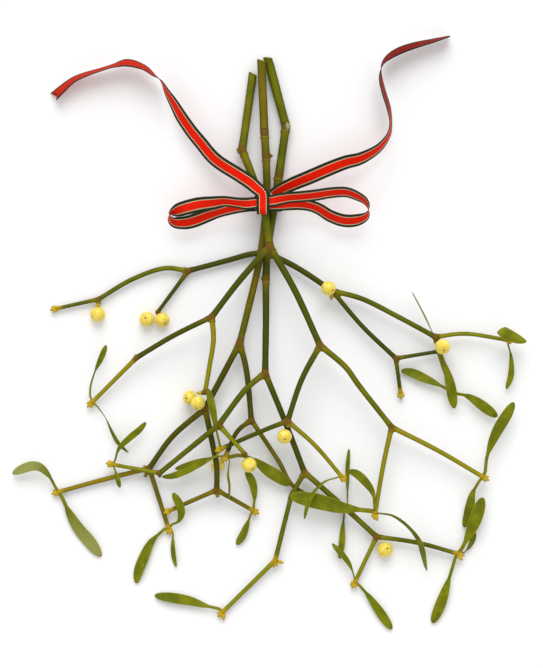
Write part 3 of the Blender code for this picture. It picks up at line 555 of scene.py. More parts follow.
def soft_step(value, low, high):
    """0 below low, 1 above high, and smooth between them."""
    t = np.clip((value - low) / (high - low), 0, 1)
    return t * t * (3 - 2 * t)


# Shoots in SUNNY are painted lighter and yellower, and those in SHADED darker and greener: partly real
# colour, partly painted shade.
SUNNY = {"thread_end", "low_end", "right_end", "outer_end", "left_low_end", "curl_end",
         "under_end", "stub_end", "left_foot_end", "right_foot_end", "left_end", "inner_end"}
SHADED = {"left_fork", "left_ring", "right_fork", "outer_fork", "low_fork", "pair_end", "middle_fork",
          "lower_right", "berry_end", "bud_end", "collar", "inner_right", "nest_end"}


def paint_wood(mesh, plan, shoots):
    """Works out the facts of every point of a sprig, and stores them for its material to read."""
    count = len(mesh.vertices)
    points, normals = np.empty(count * 3), np.empty(count * 3)
    mesh.vertices.foreach_get("co", points)
    mesh.vertices.foreach_get("normal", normals)
    points, normals = points.reshape(-1, 3) / MM, normals.reshape(-1, 3)
    gone, which = nearest_shoot(points, shoots)
    starts = np.array([plan["joints"][start][3] for start, *_ in shoots])
    knuckle, golden = np.zeros(count), np.zeros(count)
    for key, value in plan["joints"].items():
        if value[3]:
            away = np.linalg.norm(points - place(value), axis=1) / value[3]
            if key in plan["buds"]:
                golden = np.maximum(golden, 1 - soft_step(away, 1.1, 2.6))
            else:
                knuckle = np.maximum(knuckle, 1 - soft_step(away, 0.95, 1.5))
    scar = np.zeros(count)
    for key, stub in plan["stubs"]:
        out = np.array(place(stub) - place(plan["joints"][key]))
        out = out / np.linalg.norm(out)
        ahead = (points - place(stub)) @ out
        aside = np.linalg.norm(points - place(stub) - ahead[:, None] * out, axis=1)
        on_face = (aside < stub[3] * 1.2) * (abs(ahead) < 1.2)
        scar = np.maximum(scar, soft_step(normals @ out, 0.35, 0.8) * on_face)
    for start, _, line, radii in shoots:
        if start == "cut":
            out = np.array((line[0] - line[1]).normalized())
            reach = np.linalg.norm(points - line[0], axis=1)
            scar = np.maximum(scar, soft_step(normals @ out, 0.35, 0.75) * (reach < 5.5))
    # Each shoot's value sets its colour and, in part, painted shade.
    tone_and_shade = np.array([1.0 if end in SUNNY else 0.0 if end in SHADED else 0.5 for _, end, *_ in shoots])
    tone_and_shade += np.array([0.12 * noise.noise(Vector((7.3 * number, 1.7, 0.4))) for number in range(len(shoots))])
    past = np.maximum(gone - starts[which], 0)
    facts = {"knuckle": knuckle, "golden": golden, "scar": scar, "tone_and_shade": tone_and_shade[which],
             "fork": np.exp(-past / 3.2) * (starts[which] > 0)}
    for fact, values in facts.items():
        mesh.attributes.new(fact, "FLOAT", "POINT").data.foreach_set("value", np.asarray(values, np.float32))


# %% [markdown]
# ## The bark's finish
# Young mistletoe bark is smooth, green and a little glossy. It turns olive with age, brown and
# corky at the knuckles, and yellow where a shoot has just left its knuckle. A cut shows pale wood
# with a darker rim. The finish is one node group, so the three sprigs share it and differ only in
# the colours they hand it.

# %% Node group: bark
bark_skin, takes = new_group(
    "ShaderNodeTree", "bark_skin",
    {"Young": ("Color", (0.17, 0.2, 0.02, 1)), "Old": ("Color", (0.26, 0.24, 0.03, 1)),
     "Knuckle": ("Color", (0.15, 0.078, 0.009, 1)), "Fork": ("Color", (0.3, 0.235, 0.008, 1)),
     "Cut": ("Color", (0.29, 0.31, 0.14, 1)), "Fleck Scale": ("Float", 420.0)})


def known(fact):
    """A fact stored on the points of a piece."""
    return add_node("ShaderNodeAttribute", attribute_name=fact).outputs["Fac"]


def blend(how_much, below, above, kind="MIX"):
    """Lays one colour over another."""
    mixed = add_node("ShaderNodeMix", {6: below, 7: above, 0: how_much}, data_type="RGBA", blend_type=kind)
    return mixed.outputs[2]


def shaded(skin, shade):
    """A colour made lighter or darker."""
    return blend(1.0, skin, first("ShaderNodeCombineColor", {0: shade, 1: shade, 2: shade}), "MULTIPLY")


def spread(value, low, high, to_low=0.0, to_high=1.0):
    """A value brought smoothly from one range to another."""
    return first("ShaderNodeMapRange", {0: value, 1: low, 2: high, 3: to_low, 4: to_high},
                 interpolation_type="SMOOTHSTEP")


def gap_to(value, mark):
    """How far a value is from a mark."""
    return reckon("ABSOLUTE", reckon("SUBTRACT", value, mark))


def grain_of(scale, detail, kind="Noise", **more):
    """A texture over the whole piece, at this scale."""
    where = add_node("ShaderNodeTexCoord").outputs["Object"]
    return first("ShaderNodeTex" + kind, {"Vector": where, "Scale": scale, "Detail": detail, **more})


clouds = grain_of(75.0, 4.0)
grain = grain_of(900.0, 3.0)
flecks = grain_of(takes["Fleck Scale"], 0.0, "Voronoi")
fleck = spread(flecks, 0.10, 0.24, 1.0, 0.0)
aged = times_plus(clouds, 0.9, times_plus(known("tone_and_shade"), 0.5, -0.25))
skin = blend(spread(aged, 0.3, 0.7), takes["Young"], takes["Old"])
# Each shoot is also made lighter or darker by its stored value: partly painted shade.
shade = times_plus(known("tone_and_shade"), 0.7, 0.65)
# Faces turned up are painted lighter and the sides darker: painted light from above.
up_facing_painted_light = axes(add_node("ShaderNodeNewGeometry").outputs["Normal"])[2]
shade = times(shade, spread(up_facing_painted_light, 0.3, 1.0, 0.6, 1.14))
skin = shaded(skin, shade)
skin = blend(times(fleck, 0.35), skin, takes["Knuckle"])
skin = blend(times(known("fork"), 0.5), skin, takes["Fork"])
corky = times(known("knuckle"), spread(clouds, 0.2, 0.55, 0.45, 0.95))
skin = blend(corky, skin, takes["Knuckle"])
# Thin dark rings mark where a shoot leaves its knuckle.
ring = spread(gap_to(known("fork"), 0.86), 0.02, 0.09, 0.55, 0.0)
skin = blend(ring, skin, (0.05, 0.025, 0.005, 1))
rim = spread(gap_to(known("knuckle"), 0.55), 0.1, 0.35, 0.75, 0.0)
skin = blend(times(rim, spread(clouds, 0.4, 0.55)), skin, (0.06, 0.03, 0.006, 1))
skin = blend(times(known("golden"), 0.8), skin, (0.4, 0.27, 0.01, 1))
skin = blend(spread(known("scar"), 0.1, 0.75), skin, takes["Cut"])
lumps = times_plus(known("knuckle"), clouds, times(grain, 0.35))
give(Color=skin, Roughness=times_plus(known("knuckle"), 0.25, 0.42), Height=times_plus(fleck, 0.25, lumps))

# %% [markdown]
# A finish becomes a material by wiring its group into a Principled shader. The same small helper
# serves every finish here: it hands the group its colours, links what the group gives, and turns a
# height into bumps.

# %% Material helper


def new_material(name, group, colours, bump=0.2, depth=0.0004, **constant):
    """A Principled material fed by a finish group. The rest are constants on the shader itself."""
    made = bpy.data.materials.new(name)
    made.use_nodes = True
    tree = made.node_tree
    shader = tree.nodes["Principled BSDF"]
    finish = add_node("ShaderNodeGroup", tree=tree, node_tree=group)
    for label, value in colours.items():
        finish.inputs[label].default_value = value
    color, roughness, height = finish.outputs
    bumps = first("ShaderNodeBump", {"Strength": bump, "Distance": depth, "Height": height}, tree=tree)
    wiring = {"Base Color": color, "Roughness": roughness, "Normal": bumps}
    for label, value in constant.items():
        wiring[label.replace("_", " ").title().replace("Ior", "IOR")] = value
    for label, value in wiring.items():
        plug(tree, value, shader.inputs[label])
    return made


GREENS = {"front": {"Young": (0.085, 0.1, 0.0015, 1), "Old": (0.165, 0.145, 0.002, 1)},
          "middle": {"Young": (0.09, 0.088, 0.002, 1), "Old": (0.158, 0.114, 0.003, 1)},
          "back": {"Young": (0.072, 0.085, 0.001, 1), "Old": (0.135, 0.14, 0.0015, 1)}}
BARKS = {sprig: new_material(f"bark_{sprig}", bark_skin, greens, specular_ior_level=0.08)
         for sprig, greens in GREENS.items()}

# %% Grow the three sprigs
VOXEL = 0.00052
CUT_RISE = 0.35


def melt(base):
    """Melts rods and balls into one skin and evens it out."""
    remesh = base.modifiers.new("melt", "REMESH")
    remesh.mode = "VOXEL"
    remesh.voxel_size = VOXEL
    remesh.use_smooth_shade = True
    even = base.modifiers.new("even", "SMOOTH")
    even.factor = 0.5
    even.iterations = 4


def slant_cut(mesh, shoots):
    """Leans a sprig's cut end, as secateurs leave it."""
    end = next(line[0] for start, _, line, _ in shoots if start == "cut")
    for vert in mesh.vertices:
        offset = vert.co / MM - end
        if abs(offset.y) < 6 and abs(offset.x) < 4:
            vert.co.y -= CUT_RISE * offset.x * MM * max(0.0, min(1.0, (offset.y + 5) / 4.5))


def wear(piece, node):
    """Puts a finished piece in a solid node's place."""
    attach(piece, "root")
    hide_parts(node)


PLANS = {"front": FRONT, "middle": MIDDLE, "back": BACK}
bud_places = {}
for sprig, plan in PLANS.items():
    bark = BARKS[sprig]
    shoots = sprig_shoots(plan)
    lines, thick = sprig_lines(plan, shoots)
    wood = grown(line_object(f"wood_{sprig}", lines, thick=thick), wood_tree, melt, Bark=bark)
    slant_cut(wood.data, shoots)
    paint_wood(wood.data, plan, shoots)
    wood.data.materials.clear()
    wood.data.materials.append(bark)
    wear(wood, f"sprig_{sprig}")
    bud_places[sprig] = [(line[-1], (line[-1] - line[-4]).normalized())
                         for _, end, line, _ in shoots if end in plan["buds"]]
    print(wood.name, len(wood.data.polygons), "faces")

# %% [markdown]
# ## Buds
# Each shoot ends in a plump bud with a smaller one at each side. A bud is an egg with a pointed
# tip, and two scales clasp it. Buds repeat, so the tree sets a copy on every bud point, turned
# along the fact called aim and sized by the fact called size. The tree also notes how near to the
# tip each point is, because real buds are golden with brown tips.

# %% A tree that sets buds
bud_tree, takes = new_group(
    "GeometryNodeTree", "bud_clusters",
    {"Points": ("Geometry", None), "Length": ("Float", 1.4), "Point": ("Float", 0.3),
     "Skin": ("Material", None)},
    {"Buds": ("Geometry", None)})
egg = first("GeometryNodeMeshUVSphere", {"Segments": 20, "Rings": 14, "Radius": 1.0})
x, y, z = axes(first("GeometryNodeInputPosition"))
taper = times_plus(z, times(takes["Point"], -1.0), 0.85)
seam = reckon("ABSOLUTE", reckon("COSINE", reckon("ARCTAN2", y, x)))
taper = times(taper, times_plus(reckon("POWER", seam, 0.35), 0.16, 0.87))
shaped = first("ShaderNodeCombineXYZ", {0: times(x, taper), 1: times(y, taper), 2: times(z, takes["Length"])})
egg = first("GeometryNodeSetPosition", {"Geometry": noted(egg, "tip", z), "Position": shaped})
copies = copies_of(egg, takes["Points"], turned_to(fact_of("aim", "FLOAT_VECTOR")))
end_tree("Buds", copies, takes["Skin"])

# %% Node group: bud scales
bud_skin, takes = new_group(
    "ShaderNodeTree", "bud_skin",
    {"Gold": ("Color", (0.5, 0.35, 0.015, 1)), "Tip": ("Color", (0.14, 0.06, 0.006, 1))})
mottle = grain_of(700.0, 3.0)
tip = reckon("ADD", known("tip"), times(mottle, 0.5))
skin = blend(spread(tip, 0.7, 1.25, 0.0, 0.85), takes["Gold"], takes["Tip"])
give(Color=skin, Roughness=times_plus(mottle, 0.2, 0.35), Height=mottle)
bud_scales = new_material("bud_scales", bud_skin, {}, bump=0.25, specular_ior_level=0.1)

# %% Set the buds
# Some joints bear one more long bud, or the short stalk of a berry, which points its own way.
MORE = {"front": {"low_end": (0.25, -1, 0), "inner_end": (-1, -0.1, 0)},
        "middle": {"outer_fork": (-0.9, -0.4, 0)},
        "back": {"far_foot_end": (0.6, -0.8, 0), "left_foot_end": (0.1, -1, 0), "left_foot": (1, -0.3, 0),
                 "outer_left": (-0.05, -1, 0.1), "pair_end": (0.1, -1, 0.1), "right_fork": (-0.1, -1, 0.2)}}
# The buds of one end: how far each leans aside, how far out it sits, and its size.
CLUSTER = ((0, 2.8, 1.5), (0.6, 2.1, 1.35), (-0.6, 2.1, 1.35), (1.6, 1.2, 1.0), (-1.6, 1.2, 1.0))
LONE_OUT = 1.8
LONE_SIZE = 1.45
for sprig, spots in bud_places.items():
    points, aims, sizes = [], [], []
    for end, forward in spots:
        side = forward.cross(Vector((0, 0, 1))).normalized()
        for lean, ahead, size in CLUSTER:
            aim = (forward + side * lean).normalized()
            points.append([end + aim * ahead])
            aims.append(tuple(aim))
            sizes.append(size * MM)
    for key, aim in MORE[sprig].items():
        joint = PLANS[sprig]["joints"][key]
        aim = Vector(aim).normalized()
        points.append([place(joint) + aim * (joint[3] + LONE_OUT)])
        aims.append(tuple(aim))
        sizes.append(LONE_SIZE * MM)
    buds = grown(line_object(f"buds_{sprig}", points, aim=aims, size=sizes), bud_tree, Skin=bud_scales)
    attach(buds, "root")
    print(buds.name, len(points), "buds")

# %% [markdown]
# ## Blades: one tree for leaves and for ribbon
# A leaf and a ribbon are the same kind of thing: a thin band along a line, which rolls about the
# line as it goes. The line's points carry the direction across the band and its half width. The
# tree sweeps a flattened ring along the line and then gives it its thickness, its cupping, its
# pleats and, at an end, a nick. It also stores a UV map that runs across and along the band, so
# veins and woven stripes follow every bend.

# %% A tree that sweeps a band
band_tree, takes = new_group(
    "GeometryNodeTree", "band_along_line",
    {"Line": ("Geometry", None), "Ring Points": ("Int", 20), "Thickness": ("Float", 0.0009),
     "Cup": ("Float", 0.12), "Flatness": ("Float", 1.2), "Pleats": ("Float", 0.0),
     "Ripple": ("Float", 0.0), "Seed": ("Float", 0.0), "Skin": ("Material", None)},
    {"Band": ("Geometry", None)})


def with_vectors(operation, inputs):
    """A Vector Math node's result."""
    return first("ShaderNodeVectorMath", inputs, operation=operation)


def kept(geometry, kind, value):
    """Takes a value down on a geometry, so that later steps can still read it."""
    note = add_node("GeometryNodeCaptureAttribute", {"Geometry": geometry})
    note.capture_items.new(kind, "note")
    band_tree.links.new(value, note.inputs[1])
    return note.outputs[0], note.outputs[1]


line = first("GeometryNodeMeshToCurve", {"Mesh": takes["Line"]})
across, along = fact_of("across", "FLOAT_VECTOR"), first("GeometryNodeInputTangent")
line = first("GeometryNodeSetCurveNormal", {"Curve": line, "Normal": across}, mode="FREE")
line, way = kept(line, "VECTOR", along)
line, up = kept(line, "VECTOR", with_vectors("CROSS_PRODUCT", {0: across, 1: along}))
line, gone = kept(line, "FLOAT", add_node("GeometryNodeSplineParameter").outputs["Length"])
ring = first("GeometryNodeCurvePrimitiveCircle", {"Resolution": takes["Ring Points"], "Radius": 1.0})
x, y, _ = axes(first("GeometryNodeInputPosition"))
ring, side = kept(ring, "FLOAT", x)
ring, face = kept(ring, "FLOAT", y)
ring = first("GeometryNodeSetPosition", {"Geometry": ring, "Position": first("ShaderNodeCombineXYZ", {0: x})})
half = fact_of("half")
band = swept(line, ring, half)

# %% Thickness, cupping, pleats and the nick
lift = first("ShaderNodeClamp", {0: times(face, takes["Flatness"]), 1: -1.0, 2: 1.0})
thin = first("ShaderNodeMapRange", {0: half, 1: 0.0, 2: 0.0012, 3: 0.35, 4: 1.0})
lift = times(times(lift, times(takes["Thickness"], 0.5)), thin)
cup = times(times(half, takes["Cup"]), times(side, side))
fold = times(times(reckon("COSINE", times(side, 8.5)), takes["Pleats"]), fact_of("pinch"))
wave = times(times(reckon("SINE", times_plus(gone, 210.0, takes["Seed"])), takes["Ripple"]), side)
rise = reckon("ADD", reckon("ADD", lift, cup), reckon("ADD", fold, wave))
nick = times(fact_of("nick"), reckon("SUBTRACT", reckon("ABSOLUTE", side), 1.0))
risen = with_vectors("SCALE", {0: up, "Scale": rise})
nicked = with_vectors("SCALE", {0: way, "Scale": nick})
shift = with_vectors("ADD", {0: risen, 1: nicked})
band = first("GeometryNodeSetPosition", {"Geometry": band, "Offset": shift})
uv = first("ShaderNodeCombineXYZ", {0: times_plus(side, 0.5, 0.5), 1: times(gone, 100.0)})
band = noted(noted(band, "UVMap", uv, "FLOAT2", "CORNER"), "face_side", face)
end_tree("Band", band, takes["Skin"])
print("the band tree has", len(band_tree.nodes), "nodes")

# %% [markdown]
# ## Leaves
# The blade is leathery and slightly cupped, with three to five veins that leave the stalk together
# and meet again at the tip. A band's width follows the blade's outline: a short stalk, then a long
# oval with its broadest part past the middle.

# %% Node group: leaf
leaf_skin, takes = new_group(
    "ShaderNodeTree", "leaf_skin",
    {"Blade": ("Color", (0.19, 0.2, 0.0015, 1)), "Deep": ("Color", (0.105, 0.125, 0.001, 1)),
     "Painted Sheen": ("Color", (0.29, 0.29, 0.075, 1)), "Bloom Amount": ("Float", 0.0),
     "Vein": ("Color", (0.26, 0.28, 0.02, 1)), "Margin": ("Color", (0.36, 0.36, 0.03, 1)),
     "Foot": ("Color", (0.2, 0.19, 0.008, 1)), "Veins": ("Float", 5.0)})
uv_parts = axes(first("ShaderNodeUVMap", uv_map="UVMap"))
mottle = grain_of(130.0, 5.0)
pores = grain_of(1500.0, 2.0)
edge = reckon("ABSOLUTE", times_plus(uv_parts[0], 2.0, -1.0))
lanes = times(uv_parts[0], times(takes["Veins"], WHOLE_TURN))
vein = spread(reckon("COSINE", lanes), 0.72, 1.0)
vein = times(vein, spread(edge, 0.75, 0.9, 1.0, 0.0))
skin = blend(spread(mottle, 0.35, 0.7), takes["Deep"], takes["Blade"])
share = known("share")
# Towards the tip, the blade is painted paler and greyer: a painted sheen.
painted_sheen = times(spread(share, 0.15, 0.75), takes["Bloom Amount"])
skin = blend(painted_sheen, skin, takes["Painted Sheen"])
skin = blend(times(vein, 0.3), skin, takes["Vein"])
skin = blend(spread(edge, 0.9, 0.99, 0.0, 0.85), skin, takes["Margin"])
skin = blend(known("stalk"), skin, takes["Foot"])
skin = blend(spread(share, 0.965, 1.0, 0.0, 0.75), skin, (0.16, 0.08, 0.01, 1))
give(Color=skin, Roughness=times_plus(mottle, 0.18, 0.36), Height=times_plus(vein, 0.9, times(pores, 0.3)))
leaf_green = new_material("leaf_green", leaf_skin, {}, bump=0.35, specular_ior_level=0.1)
# The second leaf material carries that painted sheen, for the leaves in PALE.
leaf_painted_sheen = new_material("leaf_painted_sheen", leaf_skin, {"Bloom Amount": 0.9}, bump=0.35, specular_ior_level=0.15)

# %% Grow the leaves
LEAF_THICK = 0.9
ROWS = 36
BULGE = {"curl_up": 0.42}
# These two leaves get the painted sheen.
PALE = {"far_left_arch", "far_left_pale"}
STALK_REACH = 7  # a leaf starting farther from every knuckle gets no foot on one
JOINTS = [place(value) for plan in PLANS.values() for value in plan["joints"].values() if value[3]]


def leaf_outline(share, stalk, bulge):
    """Half the width at a share of the length, as a part of the greatest."""
    blade = min(max(share - stalk, 0.0) / (1 - stalk), 0.998) ** bulge
    return max(0.3 * (1 - blade), blade**0.62 * math.sqrt(1 - blade**2.1) / 0.591)


def leaf_line(width, roll, stalk, points, bulge, foot):
    """The midrib, with rows closer together at the tip, and the direction across the blade."""
    line = smooth_line([place(p) for p in points], 8)
    shares = np.sin(np.linspace(0, math.pi / 2, ROWS + 1))
    far = travelled(line)
    even = []
    for share in shares:
        k = min(int(np.searchsorted(far, share * far[-1], "right")) - 1, len(line) - 2)
        even.append(line[k].lerp(line[k + 1], (share * far[-1] - far[k]) / (far[k + 1] - far[k])))
    halves = [leaf_outline(share, stalk, bulge) * width / 2 * MM for share in shares]
    if foot:
        even = [foot, foot.lerp(line[0], 0.5), *even]
        halves = [halves[0], halves[0], *halves]
        shares = [0.0, 0.0, *shares]
    flat, acrosses = None, []
    for k in range(len(even)):
        ahead = (even[min(k + 1, len(even) - 1)] - even[max(k - 1, 0)]).normalized()
        if flat is None:
            level = ahead.cross(Vector((0, 0, 1))).normalized()
            turn = math.radians(roll)
            flat = level * math.cos(turn) + ahead.cross(level) * math.sin(turn)
        flat = (flat - ahead * flat.dot(ahead)).normalized()
        acrosses.append(tuple(flat))
    return even, acrosses, halves, list(shares)


for number, (name, width, roll, stalk, *points) in enumerate(LEAVES):
    foot = min(JOINTS, key=lambda joint: (joint - place(points[0])).length)
    foot = foot.lerp(place(points[0]), 0.3) if (foot - place(points[0])).length < STALK_REACH else None
    line, acrosses, halves, shares = leaf_line(width, roll, stalk, points, BULGE.get(name, 1.0), foot)
    base = line_object("blade_" + name, [line], across=acrosses, half=halves, share=shares,
                       stalk=[max(0.0, 1 - share / max(stalk, 0.08)) for share in shares],
                       pinch=[0.0] * len(line), nick=[0.0] * len(line))
    leaf = grown(base, band_tree, Thickness=LEAF_THICK * MM, Cup=0.14, Flatness=1.1, Ripple=0.00022,
                 Seed=1.7 * number, Skin=leaf_painted_sheen if name in PALE else leaf_green)
    wear(leaf, "leaf_" + name)
print(len(LEAVES), "leaves")

# %% [markdown]
# ## Berries
# A mistletoe berry is a translucent globe, pale yellow, with a small dark scar where the flower's
# style stood and four faint marks round it. The tree shapes a globe with a shallow dimple at that
# pole and notes how far each point is from it. Light has to pass into the flesh, so the shader
# scatters it under the skin.

# %% A tree that makes a berry
berry_tree, takes = new_group(
    "GeometryNodeTree", "berry_globe",
    {"Point": ("Geometry", None), "Dimple": ("Float", 0.1), "Aim": ("Vector", (0, 0, 1)),
     "Skin": ("Material", None)},
    {"Berry": ("Geometry", None)})
globe = first("GeometryNodeMeshUVSphere", {"Segments": 40, "Rings": 28, "Radius": 1.0})
spot = first("GeometryNodeInputPosition")
x, y, z = axes(spot)
off_pole = reckon("ARCCOSINE", z)
globe = noted(noted(globe, "off_pole", off_pole), "turned", reckon("ARCTAN2", y, x))
dip, stump = (reckon("EXPONENT", times(times(off_pole, off_pole), steepness)) for steepness in (-9.0, -190.0))
dip = times_plus(stump, -0.07, times(dip, takes["Dimple"]))
made = with_vectors("SCALE", {0: spot, "Scale": reckon("SUBTRACT", 1.0, dip)})
globe = first("GeometryNodeSetPosition", {"Geometry": globe, "Position": made})
end_tree("Berry", copies_of(globe, takes["Point"], turned_to(takes["Aim"])), takes["Skin"])

# %% Node group: berry flesh
berry_skin, takes = new_group(
    "ShaderNodeTree", "berry_skin",
    {"Flesh": ("Color", (0.84, 0.71, 0.15, 1)), "Deep": ("Color", (0.74, 0.56, 0.06, 1)),
     "Scar": ("Color", (0.07, 0.035, 0.01, 1))})
pulp = grain_of(420.0, 4.0, Distortion=0.6)
off_pole = known("off_pole")
spokes = reckon("COSINE", times(known("turned"), 14.0))
spokes = times(spread(spokes, 0.2, 1.0), spread(off_pole, 0.3, 1.4, 1.0, 0.0))
skin = blend(spread(pulp, 0.35, 0.7), takes["Deep"], takes["Flesh"])
skin = blend(times(spokes, 0.22), skin, takes["Deep"])
scar = spread(off_pole, 0.1, 0.17, 1.0, 0.0)
petal = reckon("COSINE", times(known("turned"), 4.0))
petal = times(spread(petal, 0.5, 0.95), spread(gap_to(off_pole, 0.34), 0.03, 0.09, 0.55, 0.0))
skin = blend(reckon("MAXIMUM", scar, petal), skin, takes["Scar"])
give(Color=skin, Roughness=times_plus(scar, 0.4, 0.2), Height=times(pulp, 0.5))
berry_flesh = new_material("berry_flesh", berry_skin, {}, bump=0.12, coat_weight=0.1,
                           specular_ior_level=0.3, subsurface_weight=0.6, subsurface_scale=0.004,
                           subsurface_radius=(1.0, 0.7, 0.25))

# %% Grow the berries
PLUMP = 1.06  # a berry stands a little proud of its solid
AIMS = [(-0.9, -0.3, 0.5), (-0.2, 0.2, 1), (0.5, -0.6, 0.7), (-0.5, -0.1, 0.8), (-0.3, -0.8, 0.6),
        (0.2, -1, 0.3), (0.5, -0.6, 0.6), (0.1, -0.4, 1), (0.6, -0.3, 0.7), (0.2, -0.5, 0.9), (0.3, 0.2, 0.9)]
for number, ((*spot, radius), aim) in enumerate(zip(BERRIES, AIMS), 1):
    berry = grown(line_object(f"globe_{number:02d}", [[place(spot)]], size=[radius * PLUMP * MM]), berry_tree,
                  Aim=Vector(aim), Skin=berry_flesh)
    wear(berry, f"berry_{number:02d}")
print(len(BERRIES), "berries")

# %% [markdown]
# ## Ribbon
# The ribbon is woven, with a broad red middle, a gold cord stitched along each side of it and dark
# green edges. The colours are bands across the UV map. Fine ribs cross it, and each stitch of the
# gold cord is a short slanted dash. The reverse of a tail is plainer and duller.

# %% Node group: ribbon
ribbon_skin, takes = new_group(
    "ShaderNodeTree", "ribbon_weave",
    {"Red": ("Color", (0.8, 0.014, 0.002, 1)), "Gold": ("Color", (1.0, 0.92, 0.55, 1)),
     "Green": ("Color", (0.018, 0.022, 0.01, 1)), "Reverse": ("Color", (0.46, 0.016, 0.003, 1)),
     "Two Faced": ("Float", 0.0), "Dull From": ("Float", 99.0), "Ribs": ("Float", 26.0),
     "Stitches": ("Float", 7.5)})
uv_parts = axes(first("ShaderNodeUVMap", uv_map="UVMap"))
off_middle = reckon("ABSOLUTE", times_plus(uv_parts[0], 2.0, -1.0))
along = uv_parts[1]
lint = grain_of(260.0, 3.0)
ribs = reckon("SINE", times(along, times(takes["Ribs"], WHOLE_TURN)))
ribs = times_plus(ribs, 0.5, 0.5)
skew = times_plus(off_middle, 6.0, times(along, times(takes["Stitches"], WHOLE_TURN)))
stitch = spread(reckon("SINE", skew), -0.35, 0.15)
cord = spread(gap_to(off_middle, 0.57), 0.035, 0.07, 1.0, 0.0)
edge = spread(off_middle, 0.58, 0.63)
skin = blend(times(ribs, 0.12), takes["Red"], (0.42, 0.01, 0.002, 1))
green = blend(times(ribs, 0.3), takes["Green"], (0.06, 0.09, 0.05, 1))
skin = blend(edge, skin, green)
gold = blend(stitch, (0.1, 0.035, 0.012, 1), takes["Gold"])
skin = blend(cord, skin, gold)
behind = reckon("LESS_THAN", known("face_side"), 0.0)
behind = times(behind, reckon("SUBTRACT", 1.0, takes["Two Faced"]))
plain = blend(spread(off_middle, 0.66, 0.74), takes["Reverse"], (0.03, 0.02, 0.012, 1))
skin = blend(behind, skin, plain)
# Past a given length along the ribbon, the cloth is painted darker; only the right tail's far end gets it.
darkening = spread(reckon("SUBTRACT", along, takes["Dull From"]), 0.0, 2.5)
skin = blend(darkening, skin, blend(1.0, skin, (0.42, 0.5, 0.6, 1), "MULTIPLY"))
worn = times_plus(lint, 0.3, 0.85)
raised = times(cord, times_plus(stitch, 1.0, 0.6))
give(Color=shaded(skin, worn), Roughness=times_plus(cord, -0.2, 0.62), Height=times_plus(ribs, 0.35, raised))
tail_cloth = new_material("tail_cloth", ribbon_skin, {}, bump=0.4, specular_ior_level=0.05)
far_cloth = new_material("far_cloth", ribbon_skin, {"Dull From": 8.5}, bump=0.4, specular_ior_level=0.05)
bow_cloth = new_material("bow_cloth", ribbon_skin, {"Two Faced": 1.0}, bump=0.4, specular_ior_level=0.06)

# %% Routes of the ribbon
TAIL_LEFT = [
    (-4, 77, 20.8, 0, 0.78), (-4, 77.5, 23, 0, 0.78), (-4, 79.5, 24.3, 0, 0.78), (-4, 85, 24.4, 0, 0.78),
    (-4, 88, 24.4, 0, 0.78), (-5, 91, 24.3, 3, 0.8), (-8.5, 94, 24, 9, 0.88), (-12.5, 97.5, 23.2, 16, 0.95),
    (-20, 102.5, 20.6, 22, 0.97), (-31, 109.5, 16.2, 27, 1), (-37.5, 115, 14.4, 28, 1),
    (-44, 123, 13.4, 30, 1), (-50.5, 131, 12.8, 34, 1), (-57, 140.5, 12.5, 40, 1),
    (-61.5, 148.5, 12.2, 52, 1), (-66, 156, 12, 68, 1), (-70, 163.5, 12, 86, 1), (-75, 167.5, 11.6, 102, 1),
    (-81.5, 172.5, 11, 114, 1), (-92, 175.5, 10, 123, 1), (-101.5, 173.5, 9.2, 108, 1),
    (-110, 171, 8.4, 107, 1), (-119.5, 168, 7.4, 112, 1), (-127.5, 164.5, 6.6, 117, 1),
    (-135, 158.5, 5.7, 126, 1), (-140.5, 153.5, 4.9, 132, 1),
]
TAIL_RIGHT = [
    (2.5, 89.5, 16.6, -16, 0.75), (7, 92.5, 18, -26, 0.88), (15.5, 96.5, 18.6, -29, 1),
    (26.5, 101, 18.2, -22, 1), (38, 106, 17.2, -22, 1), (49.5, 110.5, 16.2, -28, 1),
    (59, 113, 15.2, -38, 1), (68.5, 118, 14.3, -54, 1), (74, 123, 13.6, -65, 1), (78, 129.5, 13, -75, 1),
    (79, 137, 12.5, -79, 1), (77.5, 146.5, 12, -72, 1), (74.5, 156.5, 11.4, -71, 1),
    (72.5, 166, 10.7, -77, 1), (73.5, 174, 10.2, -96, 1), (77.5, 179, 9.7, -113, 1),
    (85, 183.5, 9, -121, 1), (95, 187, 8.2, -118, 1), (106.5, 190, 7.4, -109, 1), (117.5, 193, 6.6, -98, 1),
]
LOOP_LEFT = [
    (-4, 84, 22.3, 0, 0.75), (-9, 84, 22.3, 0, 0.78), (-14.5, 83.5, 23, 22, 0.85), (-20, 84, 23.8, 40, 0.9),
    (-28.5, 85, 24.4, 45, 0.95), (-36.5, 84, 24.4, 32, 1), (-45, 83, 23.8, 19, 1), (-53.5, 81, 22.4, 18, 1),
    (-60, 79, 20.2, 38, 1), (-64.5, 76.5, 17.2, 90, 1), (-62, 72, 14.8, 130, 1),
    (-54.5, 71.5, 14.2, 148, 1), (-48, 73, 14.7, 152, 1), (-40, 76, 15.9, 147, 1),
    (-32, 78.5, 17.6, 142, 0.9), (-22, 81, 19.3, 158, 0.8), (-13, 82, 20.4, 174, 0.7),
    (-4, 82, 20.7, 180, 0.64),
]
